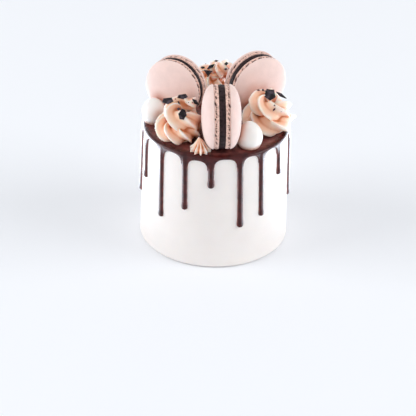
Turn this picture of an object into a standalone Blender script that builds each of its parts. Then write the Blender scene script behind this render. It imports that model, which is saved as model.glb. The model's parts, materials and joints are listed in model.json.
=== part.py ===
"""A small tall celebration cake with a poured chocolate top that runs down its side in drips.

On top stand three sandwich macarons, three piped swirls, two round sweets and one small piped star.
Metres, +Z up, origin at the middle of the cake's flat underside. The front of the cake faces -Y.
"""

import math
import random

import bmesh
import bpy
from mathutils import Matrix, Vector
from mathutils.bvhtree import BVHTree

MM = 0.001
GAP = 0.3 * MM

# Iced body, slightly wider at its foot than at its rim
BODY_HEIGHT = 86.4 * MM
BODY_RIM_RADIUS = 50.2 * MM
BODY_FOOT_RADIUS = 52.6 * MM
BODY_FOOT_FLARE = 0.3 * MM
BODY_FOOT_ROUND = 3.0 * MM
BODY_FOOT_RISE = 2.1 * MM
BODY_RIM_ROUND = 0.8 * MM
BODY_WALL_HEIGHTS = (8.0 * MM, 44.0 * MM, BODY_HEIGHT - BODY_RIM_ROUND)
BODY_SIDES = 72

# Poured chocolate: a disc over the top, whose edge hangs down the side in arches between the drips
POUR_TOP = 88.1 * MM
POUR_EDGE = 1.2 * MM
# Distance in from the disc's outer edge and down from its top, in mm, where the top rounds over
POUR_SHOULDER = ((3.0, 0.0), (0.9, 0.5), (0.0, 1.6))
POUR_LIP_SHARE = 0.6
POUR_LIP_HEIGHT = 0.2 * MM
ARCH_HEIGHT = 85.8 * MM
ARCH_UNEVEN = 0.8 * MM
ARCH_DROP = 6.5 * MM
ARCH_POWER = 2.6
ARCH_POINTS = 7
LOW_ARCH_FROM = -24.2
LOW_ARCH_BY = 2.3 * MM

# Drips: half-round beads that widen into the disc's edge at their root and all lean a little the same way
DRIP_COUNT = 17
DRIP_HALF_WIDTH = 2.4 * MM
DRIP_DEPTH = 1.8 * MM
DRIP_LEAN = 1.3
DRIP_ROOT_BELOW = 0.2 * MM
DRIP_SEED = 11
DRIP_SECTION = ((-1.0, 0.0), (-0.72, 0.72), (0.0, 1.0), (0.72, 0.72), (1.0, 0.0))
# Distance below the root or above the tip in mm, with shares of the half width and of the depth there
DRIP_ROOT = ((0.0, 1.9, 0.70), (3.5, 1.45, 0.85), (8.0, 1.12, 1.0))
DRIP_NECK_SHARE, DRIP_NECK_WIDTH, DRIP_NECK_DEPTH = 0.40, 0.90, 0.94
DRIP_TIP = ((5.0, 0.96, 1.08), (1.6, 0.92, 1.12), (0.4, 0.55, 0.70))
# Drips that face the front: turn from the front in degrees, and height of the tip in mm
FRONT_DRIPS = (
    (-89.0, 32.0),
    (-69.6, 52.0),
    (-46.1, 31.4),
    (-24.2, 43.8),
    (-3.4, 63.2),
    (19.2, 31.5),
    (37.8, 36.2),
    (58.1, 61.8),
    (86.0, 31.5),
)
BACK_DRIP_TIPS = (34.0, 62.0)
BACK_DRIP_UNEVEN = 2.0

# Macarons stand on their rims: centre x and y, turn and tilt of the axis in degrees, radius, half of the
# filling's thickness and height of a shell's dome in mm
MACARONS = {
    "left": (-28.6, 9.8, -28.0, 0.6, 20.9, 1.5, 7.9),
    "right": (26.5, 17.1, 32.3, -3.0, 21.5, 1.8, 7.6),
    "front": (3.1, -35.9, 93.0, 1.0, 21.9, 1.9, 8.1),
}
SHELL_SIDES = 28
SHELL_FOOT = 3.1 * MM
SHELL_FLAT_SHARE = 0.93
SHELL_RUFFLES = (0.9 * MM, 2.1 * MM)
SHELL_RUFFLE_SHARES = (0.945, 1.0)
SHELL_NECK_SHARE = 0.965
SHELL_NECK = 0.2 * MM
DOME_SHARES = (0.995, 0.90, 0.70, 0.40)
DOME_POWER = 2.3
FILLING_INSET = 0.9 * MM
FILLING_PROFILE = ((0.965, -1.0), (1.0, -0.45), (1.0, 0.45), (0.965, 1.0))

# Piped swirls: centre x and y, base radius and height in mm, start angle in degrees, turns, twists, share
# of the twists that is lost towards the peak, and how far the peak leans to the right in mm
SWIRLS = {
    "left": (-24.8, -23.6, 17.0, 26.2, 60.0, 2.3, 7.8, 0.38, 4.5),
    "right": (36.4, -8.5, 18.0, 25.2, 120.0, 2.3, 4.0, 0.0, 0.0),
    "back": (-1.0, 35.6, 17.2, 27.4, 260.0, 2.2, 5.5, 0.0, 0.0),
}
# The rope that is piped into a swirl: its thickness as a share of the swirl's radius, its star points and
# grooves, how it starts, climbs and closes at the peak, and how unevenly it is laid
ROPE_SHARE = 0.42
ROPE_CREST = 1.15
ROPE_POINTS = 3
ROPE_GROOVE = 0.60
ROPE_GROOVE_POWER = 0.8
ROPE_SOFTNESS = 0.04
ROPE_WANDER = 0.07
ROPE_SWELL = 0.10
ROPE_SWELL_AHEAD = 0.2
# Slow waves that add up to the unevenness: size, rate along the rope and shift with the start angle
ROPE_WAVES = ((0.6, 19.0, 3.0), (0.4, 43.0, 5.0))
ROPE_FLAT_SHARE = 0.36
ROPE_LOW_SHARE = 0.86
ROPE_CURL_POWER = 1.6
ROPE_CLIMB_POWER = 0.8
ROPE_LEAN_POWER = 1.5
ROPE_TAPER = 0.25
ROPE_START_SHARE = 0.04
ROPE_START_WIDTH = 0.6
ROPE_END_SHARE = 0.20
ROPE_END_ROUND = 0.8
ROPE_LEAST = 0.2 * MM
ROPE_STATIONS = 96
ROPE_LOOK_AHEAD = 0.4
ROPE_SIDES = 30
CORE_FOOT_SHARE = 0.6
CORE_HEAD_SHARE = 0.35
CORE_HEIGHT_SHARE = 0.66
CORE_SIDES = 24
SWIRL_VOXEL = 0.8 * MM
SWIRL_TRIANGLES = 1100

# Flat chocolate flakes on the swirls: turn and slope seen from the swirl's middle in degrees, length and
# width in mm, spin in degrees and number of corners; their faces look mostly to the front and up
FLAKES = {
    "left": (
        (152.8, 51.1, 7.8, 4.4, 15.0, 5),
        (74.7, 70.6, 7.2, 3.5, 8.0, 5),
        (279.3, 41.9, 7.0, 5.8, 80.0, 6),
        (2.8, 53.5, 7.0, 2.6, -48.0, 4),
    ),
    "right": (
        (112.6, 83.2, 8.2, 8.4, 0.0, 5),
        (45.0, 42.0, 8.6, 2.2, -40.0, 4),
        (281.0, 36.0, 3.2, 1.4, 50.0, 4),
    ),
    "back": (
        (152.9, 36.6, 3.2, 1.9, 5.0, 5),
        (235.6, 63.2, 7.2, 2.6, 42.0, 4),
        (207.2, 47.7, 6.4, 4.8, 8.0, 3),
        (339.9, 63.3, 3.2, 2.7, 0.0, 4),
    ),
}
FLAKE_THICKNESS = 1.3 * MM
FLAKE_FACING = Vector((0.0, -0.853, 0.522))
FLAKE_FACING_SHARE = 3.0
FLAKE_UNDER_SHARE = 0.92
FLAKE_SINK = 0.25 * MM
# Shares of a flake's length and width at which the cream under it is felt for
FLAKE_FEELERS = (-0.45, -0.22, 0.0, 0.22, 0.45)
FLAKE_FEEL_FROM = 12 * MM
SWIRL_MIDDLE_SHARE = 0.45

# Round sweets with a flattened base: centre x and y, radius and height in mm, how pointed the head is and
# how far its tip leans to the left in mm
SWEETS = {
    "left": (-43.3, -3.5, 8.2, 17.2, 0.0, 0.0),
    "right": (22.3, -34.8, 8.9, 18.3, 0.35, 1.2),
}
SWEET_SIDES = 20
SWEET_RINGS = 8
SWEET_WIDEST = 0.42
SWEET_FOOT_INSET = 0.22
SWEET_FOOT_POWER = 2.4
SWEET_HEAD_POWER = 2.1
SWEET_HEAD_ROUND = 0.55
SWEET_POINT_ROUND = 0.3
SWEET_LEAN_FROM = 0.4
SWEET_RING_POWER = 1.2

# Small piped star: shares of its height and radius from foot to peak, and depth of its grooves
STAR_PLACE = (-10.2, -43.6)
STAR_RADIUS = 8.0 * MM
STAR_HEIGHT = 10.4 * MM
STAR_LEAN = -1.4 * MM
STAR_RIDGES = 10
STAR_POINTS_PER_RIDGE = 4
STAR_TURN = 20.0
STAR_GROOVE = 0.36
STAR_PROFILE = ((0.0, 0.94), (0.12, 0.97), (0.34, 0.78), (0.58, 0.50), (0.80, 0.25), (0.94, 0.09))

TOP_REST = POUR_TOP + GAP
SOFT_CLEARANCE = 1.5 * GAP
FAR_OUTSIDE = 50 * MM
SHARP_ANGLE = 50.0


def material(name, colour, roughness):
    """A plain Principled material."""
    made = bpy.data.materials.new(name)
    made.use_nodes = True
    shader = made.node_tree.nodes["Principled BSDF"]
    shader.inputs["Base Color"].default_value = (*colour, 1.0)
    shader.inputs["Roughness"].default_value = roughness
    shader.inputs["Metallic"].default_value = 0.0
    return made


ICING = material("white_icing", (0.88, 0.84, 0.80), 0.5)
CHOCOLATE = material("poured_chocolate", (0.055, 0.020, 0.016), 0.2)
MACARON_SHELL = material("macaron_shell", (0.74, 0.53, 0.45), 0.7)
MACARON_FILLING = material("macaron_filling", (0.035, 0.018, 0.018), 0.4)
BUTTERCREAM = material("piped_buttercream", (0.80, 0.50, 0.32), 0.5)
CREAM = material("cream_sweet", (0.88, 0.82, 0.76), 0.4)


def add_object(name, mesh, finish, matrix=None):
    """Link a mesh as a named object, smooth where it is round."""
    mesh.materials.clear()
    mesh.materials.append(finish)
    mesh.shade_smooth()
    mesh.set_sharp_from_angle(angle=math.radians(SHARP_ANGLE))
    made = bpy.data.objects.new(name, mesh)
    bpy.context.scene.collection.objects.link(made)
    if matrix is not None:
        made.matrix_world = matrix
    return made


def mesh_from(build, name):
    """Close a bmesh with its faces pointing out and return it as a mesh."""
    bmesh.ops.recalc_face_normals(build, faces=build.faces[:])
    mesh = bpy.data.meshes.new(name)
    build.to_mesh(mesh)
    build.free()
    return mesh


def ring_at(build, radii, height):
    """A level ring of points evenly round the axis, one for each radius."""
    ring = []
    for i, radius in enumerate(radii):
        angle = 2 * math.pi * i / len(radii)
        ring.append(build.verts.new((radius * math.cos(angle), radius * math.sin(angle), height)))
    return ring


def bridge(build, rings):
    """Quads between each ring and the next, which have the same number of points."""
    for lower, upper in zip(rings, rings[1:]):
        count = len(lower)
        for i in range(count):
            after = (i + 1) % count
            build.faces.new((lower[i], lower[after], upper[after], upper[i]))


def fan(build, ring, centre):
    """Triangles from a ring to one middle point."""
    middle = build.verts.new(centre)
    for i, vert in enumerate(ring):
        build.faces.new((vert, ring[(i + 1) % len(ring)], middle))


def cap(build, ring):
    """One flat face that closes a ring."""
    build.faces.new(ring)


def wall_radius(height):
    """Radius of the iced side at a height."""
    share = 1 - height / BODY_HEIGHT
    return BODY_RIM_RADIUS + (BODY_FOOT_RADIUS - BODY_RIM_RADIUS) * share


def make_body():
    """The iced cake, one turned solid."""
    profile = [(BODY_FOOT_RADIUS - BODY_FOOT_ROUND, 0.0)]
    for degrees in (45, 90):
        turn = math.radians(degrees)
        radius = BODY_FOOT_RADIUS + BODY_FOOT_FLARE - BODY_FOOT_ROUND * (1 - math.sin(turn))
        profile.append((radius, BODY_FOOT_RISE * (1 - math.cos(turn))))
    for height in BODY_WALL_HEIGHTS:
        profile.append((wall_radius(height), height))
    profile.append((BODY_RIM_RADIUS - BODY_RIM_ROUND, BODY_HEIGHT))
    build = bmesh.new()
    rings = []
    for radius, height in profile:
        rings.append(ring_at(build, [radius] * BODY_SIDES, height))
    cap(build, rings[0])
    cap(build, rings[-1])
    bridge(build, rings)
    add_object("cake_body", mesh_from(build, "cake_body"), ICING)


def drip_list():
    """Turn from the front in degrees and tip height in metres for every drip, going round."""
    drips = []
    for turn, tip in FRONT_DRIPS:
        drips.append((turn, tip * MM))
    rng = random.Random(DRIP_SEED)
    last = FRONT_DRIPS[-1][0]
    behind = DRIP_COUNT - len(FRONT_DRIPS)
    step = (FRONT_DRIPS[0][0] + 360 - last) / (behind + 1)
    for i in range(behind):
        turn = last + step * (i + 1) + rng.uniform(-BACK_DRIP_UNEVEN, BACK_DRIP_UNEVEN)
        drips.append((turn, rng.uniform(*BACK_DRIP_TIPS) * MM))
    return drips


def around(radius, turn, height):
    """A point at a turn in degrees from the front."""
    angle = math.radians(turn)
    return Vector((radius * math.sin(angle), -radius * math.cos(angle), height))


def pour_columns(drips):
    """Turn and edge height of the columns that shape the disc's scalloped edge."""
    columns = []
    rng = random.Random(DRIP_SEED)
    half = math.degrees(DRIP_HALF_WIDTH / BODY_RIM_RADIUS)
    for i, (turn, _) in enumerate(drips):
        after = drips[(i + 1) % len(drips)][0]
        if after < turn:
            after += 360
        start = turn + half
        end = after - half
        top = ARCH_HEIGHT - rng.uniform(0, ARCH_UNEVEN)
        if turn == LOW_ARCH_FROM:
            top = ARCH_HEIGHT - LOW_ARCH_BY
        for k in range(ARCH_POINTS):
            across = -math.cos(math.pi * k / (ARCH_POINTS - 1))
            fall = 1 - (1 - min(1.0, abs(across)) ** ARCH_POWER) ** (1 / ARCH_POWER)
            columns.append((start + (end - start) * (across + 1) / 2, top - ARCH_DROP * fall))
    return columns


def make_disc(drips):
    """The poured disc with its scalloped edge, lying over the rim of the body."""
    outer = BODY_RIM_RADIUS + POUR_EDGE
    build = bmesh.new()
    rings = [[] for _ in range(len(POUR_SHOULDER) + 4)]
    for turn, edge in pour_columns(drips):
        inner = wall_radius(edge) + GAP
        points = [(outer - into * MM, POUR_TOP - below * MM) for into, below in POUR_SHOULDER]
        points.append((inner + POUR_LIP_SHARE * POUR_EDGE, edge + POUR_LIP_HEIGHT))
        points.append((inner, edge))
        points.append((BODY_RIM_RADIUS + GAP, BODY_HEIGHT - GAP))
        points.append((BODY_RIM_RADIUS - BODY_RIM_ROUND, BODY_HEIGHT + GAP))
        for ring, (radius, height) in zip(rings, points):
            ring.append(build.verts.new(around(radius, turn, height)))
    cap(build, rings[0])
    cap(build, rings[-1])
    bridge(build, rings)
    return add_object("ganache", mesh_from(build, "ganache"), CHOCOLATE)


def leaning(turn, below):
    """Turn in degrees of a drip's middle at a distance below its root."""
    return turn + math.degrees(math.tan(math.radians(DRIP_LEAN)) * below / BODY_RIM_RADIUS)


def make_drip(turn, tip):
    """One drip: a half-round bead along the wall, wider at its root and rounded at its tip."""
    top = ARCH_HEIGHT - DRIP_ROOT_BELOW
    stations = []
    for below, wide, deep in DRIP_ROOT:
        stations.append((top - below * MM, wide, deep))
    stations.append((tip + DRIP_NECK_SHARE * (top - tip), DRIP_NECK_WIDTH, DRIP_NECK_DEPTH))
    for above, wide, deep in DRIP_TIP:
        stations.append((tip + above * MM, wide, deep))
    build = bmesh.new()
    rings = []
    for height, wide, deep in stations:
        ring = []
        for across, out in DRIP_SECTION:
            radius = wall_radius(height) + GAP + out * deep * DRIP_DEPTH
            spread = math.degrees(across * wide * DRIP_HALF_WIDTH / radius)
            ring.append(build.verts.new(around(radius, leaning(turn, top - height) + spread, height)))
        rings.append(ring)
    cap(build, rings[0])
    bridge(build, rings)
    fan(build, rings[-1], around(wall_radius(tip) + 2 * GAP, leaning(turn, top - tip), tip))
    return mesh_from(build, "drip")


def evaluated_mesh(item):
    """The mesh of an object with its modifiers worked out."""
    bpy.context.view_layer.update()
    graph = bpy.context.evaluated_depsgraph_get()
    return bpy.data.meshes.new_from_object(item.evaluated_get(graph))


def join(base, parts):
    """Join closed meshes to an object by one Boolean union on a collection."""
    group = bpy.data.collections.new("to_join")
    for part in parts:
        group.objects.link(bpy.data.objects.new("to_join", part))
    union = base.modifiers.new("union", "BOOLEAN")
    union.operation = "UNION"
    union.operand_type = "COLLECTION"
    union.collection = group
    union.solver = "MANIFOLD"
    mesh = evaluated_mesh(base)
    base.modifiers.clear()
    base.data = mesh
    for piece in list(group.objects):
        bpy.data.objects.remove(piece)
    bpy.data.collections.remove(group)


def keep_largest(mesh):
    """Fill sealed hollows and drop loose scraps: only the largest connected skin stays."""
    build = bmesh.new()
    build.from_mesh(mesh)
    left = set(build.verts)
    islands = []
    while left:
        island = {left.pop()}
        front = list(island)
        while front:
            for edge in front.pop().link_edges:
                for vert in edge.verts:
                    if vert in left:
                        left.remove(vert)
                        island.add(vert)
                        front.append(vert)
        islands.append(island)
    largest = max(islands, key=len)
    scraps = [vert for vert in build.verts if vert not in largest]
    bmesh.ops.delete(build, geom=scraps, context="VERTS")
    build.to_mesh(mesh)
    build.free()


def make_ganache():
    """The poured disc with all its drips, one closed skin."""
    drips = drip_list()
    disc = make_disc(drips)
    beads = []
    for turn, tip in drips:
        beads.append(make_drip(turn, tip))
    join(disc, beads)


def macaron_reach(key):
    """Distance from a macaron's middle to where the foot of a shell meets its dome."""
    return MACARONS[key][5] * MM + GAP + SHELL_FOOT


def macaron_frame(key):
    """Matrix of a macaron: its axis is local Z, its middle is the origin."""
    x, y, turn, tilt, radius = MACARONS[key][:5]
    turn = math.radians(turn)
    tilt = math.radians(tilt)
    axis = Vector((math.sin(turn) * math.cos(tilt), -math.cos(turn) * math.cos(tilt), math.sin(tilt)))
    side = Vector((0, 0, 1)).cross(axis).normalized()
    up = axis.cross(side)
    frame = Matrix((side, up, axis)).transposed().to_4x4()
    lift = TOP_REST + radius * MM * math.cos(tilt) + macaron_reach(key) * abs(math.sin(tilt))
    frame.translation = Vector((x * MM, y * MM, lift))
    return frame


def dome_height(dome, share):
    """Height of a shell's dome above its foot at a share of the radius."""
    return dome * (1 - min(1.0, share) ** DOME_POWER) ** 0.5


def make_shell(name, radius, dome, seed):
    """One macaron shell: a crumbly foot under a smooth dome, flat side at local zero."""
    rng = random.Random(seed)
    build = bmesh.new()
    rings = [ring_at(build, [SHELL_FLAT_SHARE * radius] * SHELL_SIDES, 0.0)]
    for height in SHELL_RUFFLES:
        radii = [radius * rng.uniform(*SHELL_RUFFLE_SHARES) for _ in range(SHELL_SIDES)]
        rings.append(ring_at(build, radii, height))
    rings.append(ring_at(build, [SHELL_NECK_SHARE * radius] * SHELL_SIDES, SHELL_FOOT - SHELL_NECK))
    for share in DOME_SHARES:
        height = SHELL_FOOT + dome_height(dome, share)
        rings.append(ring_at(build, [share * radius] * SHELL_SIDES, height))
    cap(build, rings[0])
    bridge(build, rings)
    fan(build, rings[-1], (0, 0, SHELL_FOOT + dome))
    return mesh_from(build, name)


def make_filling(name, radius, half):
    """The dark filling between two shells, a disc with a bulging edge."""
    build = bmesh.new()
    rings = []
    for share, level in FILLING_PROFILE:
        rings.append(ring_at(build, [share * radius] * SHELL_SIDES, level * half))
    cap(build, rings[0])
    cap(build, rings[-1])
    bridge(build, rings)
    return mesh_from(build, name)


def make_macaron(key, near, far):
    """Two shells and the filling between them, held by one empty."""
    radius = MACARONS[key][4] * MM
    half = MACARONS[key][5] * MM
    dome = MACARONS[key][6] * MM
    holder = bpy.data.objects.new("holder_" + key, None)
    bpy.context.scene.collection.objects.link(holder)
    holder.matrix_world = macaron_frame(key)
    lift = Matrix.Translation((0, 0, half + GAP))
    flip = Matrix.Rotation(math.pi, 4, "X")
    names = (f"macaron_{key}_shell_{near}", f"macaron_{key}_shell_{far}", f"macaron_{key}_filling")
    seed = sorted(MACARONS).index(key) * 2
    pieces = (
        (make_shell(names[0], radius, dome, seed), MACARON_SHELL, lift),
        (make_shell(names[1], radius, dome, seed + 1), MACARON_SHELL, flip @ lift),
        (make_filling(names[2], radius - FILLING_INSET, half), MACARON_FILLING, Matrix()),
    )
    for name, (mesh, finish, place) in zip(names, pieces):
        made = add_object(name, mesh, finish)
        made.parent = holder
        made.matrix_local = place


def press(mesh, origin, keys):
    """Push the points of a soft piece out of the macarons beside it, along each macaron's axis."""
    for key in keys:
        frame = macaron_frame(key)
        back = frame.inverted()
        radius = MACARONS[key][4] * MM + GAP
        dome = MACARONS[key][6] * MM
        for vert in mesh.vertices:
            local = back @ (vert.co + origin)
            share = math.hypot(local.x, local.y) / radius
            if share >= 1:
                continue
            surface = macaron_reach(key) + dome_height(dome, share) + SOFT_CLEARANCE
            if abs(local.z) < surface:
                local.z = math.copysign(surface, local.z)
                vert.co = frame @ local - origin


def rope_rise(share):
    """How far the rope has climbed: zero along its first flat turn, one at the peak."""
    return max(0.0, (share - ROPE_FLAT_SHARE) / (1 - ROPE_FLAT_SHARE))


def unevenness(share, start):
    """Slow wander of the hand that pipes, from -1 to 1."""
    return sum(size * math.sin(rate * share + shift * start) for size, rate, shift in ROPE_WAVES)


def rope_path(share, radius, height, start, turns, lean):
    """Middle of the piped rope at a share of its length."""
    thick = radius * ROPE_SHARE
    rise = rope_rise(share)
    angle = start - 2 * math.pi * turns * share
    reach = (radius - thick) * math.sqrt(1 - rise ** ROPE_CURL_POWER)
    reach *= 1 + ROPE_WANDER * unevenness(share, start)
    low = ROPE_LOW_SHARE * thick
    climb = low + (height - low) * rise ** ROPE_CLIMB_POWER
    return Vector((reach * math.cos(angle) + lean * rise ** ROPE_LEAN_POWER, reach * math.sin(angle), climb))


def rope_width(share, radius):
    """Radius of the piped rope at a share of its length, closing at the peak."""
    width = radius * ROPE_SHARE * (1 - ROPE_TAPER * rope_rise(share))
    end = 1 - (1 - share) / ROPE_END_SHARE
    if end > 0:
        width *= ROPE_END_ROUND * math.sqrt(1 - end * end) + (1 - ROPE_END_ROUND) * (1 - end)
    if share < ROPE_START_SHARE:
        width *= ROPE_START_WIDTH + (1 - ROPE_START_WIDTH) * share / ROPE_START_SHARE
    return max(width, ROPE_LEAST)


def make_rope(radius, height, start, turns, twists, slows, lean):
    """The star-shaped rope of a piped swirl, with a core that fills its middle."""
    shape = (radius, height, start, turns, lean)
    build = bmesh.new()
    rings = []
    step = ROPE_LOOK_AHEAD / ROPE_STATIONS
    for i in range(ROPE_STATIONS + 1):
        share = i / ROPE_STATIONS
        here = rope_path(share, *shape)
        ahead = rope_path(min(1.0, share + step), *shape)
        behind = rope_path(max(0.0, share - step), *shape)
        along = (ahead - behind).normalized()
        side = along.cross(Vector((0, 0, 1))).normalized()
        over = side.cross(along).normalized()
        width = rope_width(share, radius)
        width *= 1 + ROPE_SWELL * unevenness(share + ROPE_SWELL_AHEAD, start)
        twisted = 2 * math.pi * twists * share * (1 - slows * share)
        ring = []
        for j in range(ROPE_SIDES):
            psi = 2 * math.pi * j / ROPE_SIDES
            ridge = math.sin(ROPE_POINTS * (psi + twisted) / 2)
            groove = ROPE_GROOVE * math.hypot(ridge, ROPE_SOFTNESS) ** ROPE_GROOVE_POWER
            reach = width * (ROPE_CREST - groove)
            point = here + side * (reach * math.cos(psi)) + over * (reach * math.sin(psi))
            point.z = max(point.z, 0.0)
            ring.append(build.verts.new(point))
        rings.append(ring)
    cap(build, rings[0])
    cap(build, rings[-1])
    bridge(build, rings)
    depth = CORE_HEIGHT_SHARE * height
    foot = CORE_FOOT_SHARE * radius
    head = CORE_HEAD_SHARE * radius
    core = bmesh.ops.create_cone(
        build, cap_ends=True, segments=CORE_SIDES, radius1=foot, radius2=head, depth=depth
    )
    bmesh.ops.translate(build, verts=core["verts"], vec=(0, 0, depth / 2))
    return mesh_from(build, "rope")


def shard_outline(length, width, corners):
    """Corners of a broken shard that fills a length and width, one of them pointing down."""
    points = []
    for i in range(corners):
        angle = 2 * math.pi * i / corners - math.pi / 2
        points.append((math.cos(angle), math.sin(angle)))
    low = [min(point[axis] for point in points) for axis in range(2)]
    high = [max(point[axis] for point in points) for axis in range(2)]
    shape = []
    for across, up in points:
        across_share = (across - low[0]) / (high[0] - low[0]) - 0.5
        up_share = (up - low[1]) / (high[1] - low[1]) - 0.5
        shape.append((across_share * length, up_share * width))
    return shape


def make_flake(length, width, corners, matrix):
    """A flat broken flake, a little narrower underneath, as a closed mesh."""
    build = bmesh.new()
    rings = []
    for height, share in ((-0.5, FLAKE_UNDER_SHARE), (0.5, 1.0)):
        ring = []
        for across, up in shard_outline(length, width, corners):
            point = Vector((across * share, up * share, height * FLAKE_THICKNESS))
            ring.append(build.verts.new(matrix @ point))
        rings.append(ring)
    cap(build, rings[0])
    cap(build, rings[1])
    bridge(build, rings)
    return mesh_from(build, "flake")


def flake_matrix(tree, height, turn, slope, spin):
    """Where a ray from outside towards the swirl's middle meets it, with the flake's face as its Z."""
    turn = math.radians(turn)
    slope = math.radians(slope)
    out = Vector((math.cos(turn) * math.cos(slope), math.sin(turn) * math.cos(slope), math.sin(slope)))
    middle = Vector((0, 0, SWIRL_MIDDLE_SHARE * height))
    hit, _, _, _ = tree.ray_cast(middle + out * FAR_OUTSIDE, -out)
    face = (out + FLAKE_FACING_SHARE * FLAKE_FACING).normalized()
    side = Vector((0, 0, 1)).cross(face).normalized()
    frame = Matrix((side, face.cross(side), face)).transposed().to_4x4()
    frame.translation = hit
    return frame @ Matrix.Rotation(math.radians(spin), 4, "Z")


def lay_down(tree, matrix, length, width):
    """Move a flake's matrix along its own Z until the flake lies on the cream, pressed in a little."""
    down = -(matrix.to_3x3() @ Vector((0, 0, 1)))
    heights = []
    for across in FLAKE_FEELERS:
        for up in FLAKE_FEELERS:
            start = matrix @ Vector((across * length, up * width, FLAKE_FEEL_FROM))
            hit, _, _, distance = tree.ray_cast(start, down)
            if hit is not None:
                heights.append(FLAKE_FEEL_FROM - distance)
    return matrix @ Matrix.Translation((0, 0, max(heights) - FLAKE_SINK))


def make_swirl(key, neighbours):
    """A piped swirl with the chocolate flakes that stick to it."""
    x, y, radius, height, start, turns, twists, slows, lean = SWIRLS[key]
    height *= MM
    origin = Vector((x * MM, y * MM, TOP_REST))
    rope = make_rope(radius * MM, height, math.radians(start), turns, twists, slows, lean * MM)
    swirl = add_object("swirl_" + key, rope, BUTTERCREAM)
    remesh = swirl.modifiers.new("one_skin", "REMESH")
    remesh.mode = "VOXEL"
    remesh.voxel_size = SWIRL_VOXEL
    swirl.data = evaluated_mesh(swirl)
    swirl.modifiers.clear()
    keep_largest(swirl.data)
    fewer = swirl.modifiers.new("fewer_faces", "DECIMATE")
    fewer.ratio = SWIRL_TRIANGLES / (2 * len(swirl.data.polygons))
    swirl.data = evaluated_mesh(swirl)
    swirl.modifiers.clear()
    press(swirl.data, origin, neighbours)
    for vert in swirl.data.vertices:
        vert.co.z = max(vert.co.z, 0.0)
    points = [vert.co for vert in swirl.data.vertices]
    tree = BVHTree.FromPolygons(points, [face.vertices for face in swirl.data.polygons])
    flakes = []
    for turn, slope, length, width, spin, corners in FLAKES[key]:
        place = flake_matrix(tree, height, turn, slope, spin)
        place = lay_down(tree, place, length * MM, width * MM)
        flakes.append(make_flake(length * MM, width * MM, corners, place))
    join(swirl, flakes)
    keep_largest(swirl.data)
    swirl.location = origin


def sweet_share(level, point):
    """Radius share of a round sweet at a share of its height, its head less round for a larger point."""
    if level < SWEET_WIDEST:
        return 1 - SWEET_FOOT_INSET * ((SWEET_WIDEST - level) / SWEET_WIDEST) ** SWEET_FOOT_POWER
    head = (level - SWEET_WIDEST) / (1 - SWEET_WIDEST)
    return (1 - head ** (SWEET_HEAD_POWER - point)) ** (SWEET_HEAD_ROUND + SWEET_POINT_ROUND * point)


def make_sweet(key, neighbours):
    """A round cream sweet that stands on a flattened base."""
    x, y, radius, height, point, lean = SWEETS[key]
    origin = Vector((x * MM, y * MM, TOP_REST))
    build = bmesh.new()
    rings = []
    for i in range(SWEET_RINGS):
        level = math.sin(0.5 * math.pi * i / SWEET_RINGS) ** SWEET_RING_POWER
        reach = radius * MM * sweet_share(level, point)
        ring = ring_at(build, [reach] * SWEET_SIDES, level * height * MM)
        shift = -lean * MM * max(0.0, level - SWEET_LEAN_FROM) ** 2
        bmesh.ops.translate(build, verts=ring, vec=(shift, 0, 0))
        rings.append(ring)
    cap(build, rings[0])
    bridge(build, rings)
    fan(build, rings[-1], (-lean * MM * (1 - SWEET_LEAN_FROM) ** 2, 0, height * MM))
    mesh = mesh_from(build, "sweet_" + key)
    press(mesh, origin, neighbours)
    add_object("sweet_" + key, mesh, CREAM, Matrix.Translation(origin))


def make_star():
    """A small star piped in one squeeze, its ridges running up to a leaning peak."""
    count = STAR_RIDGES * STAR_POINTS_PER_RIDGE
    build = bmesh.new()
    rings = []
    for level, share in STAR_PROFILE:
        radii = []
        for i in range(count):
            groove = abs(math.sin(math.pi * STAR_RIDGES * i / count))
            radii.append(STAR_RADIUS * share * (1 - STAR_GROOVE * groove))
        ring = ring_at(build, radii, level * STAR_HEIGHT)
        bmesh.ops.rotate(build, verts=ring, matrix=Matrix.Rotation(math.radians(STAR_TURN), 3, "Z"))
        bmesh.ops.translate(build, verts=ring, vec=(STAR_LEAN * level ** 2, 0, 0))
        rings.append(ring)
    cap(build, rings[0])
    bridge(build, rings)
    fan(build, rings[-1], (STAR_LEAN, 0, STAR_HEIGHT))
    mesh = mesh_from(build, "piped_star")
    origin = Vector((STAR_PLACE[0] * MM, STAR_PLACE[1] * MM, TOP_REST))
    press(mesh, origin, ("front",))
    add_object("piped_star", mesh, BUTTERCREAM, Matrix.Translation(origin))


def main():
    for item in list(bpy.data.objects):
        bpy.data.objects.remove(item)
    make_body()
    make_ganache()
    make_macaron("left", "near", "far")
    make_macaron("right", "near", "far")
    make_macaron("front", "right", "left")
    make_swirl("left", ("left", "front"))
    make_swirl("right", ("right",))
    make_swirl("back", ("left", "right"))
    make_sweet("left", ("left",))
    make_sweet("right", ("front",))
    make_star()


main()
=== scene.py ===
"""Dresses a small chocolate drip cake: icing, poured chocolate, macarons, buttercream, flakes and sweets.

Lengths are metres, or millimetres where a table says so. +Z is up and the front of the cake faces -Y.
"""

import json
import math
import random
from collections import namedtuple

import bmesh
import bpy
import numpy as np
from bpy.props import FloatProperty, FloatVectorProperty, IntProperty, PointerProperty
from mathutils import Matrix, Vector, noise
from mathutils.bvhtree import BVHTree

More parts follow.
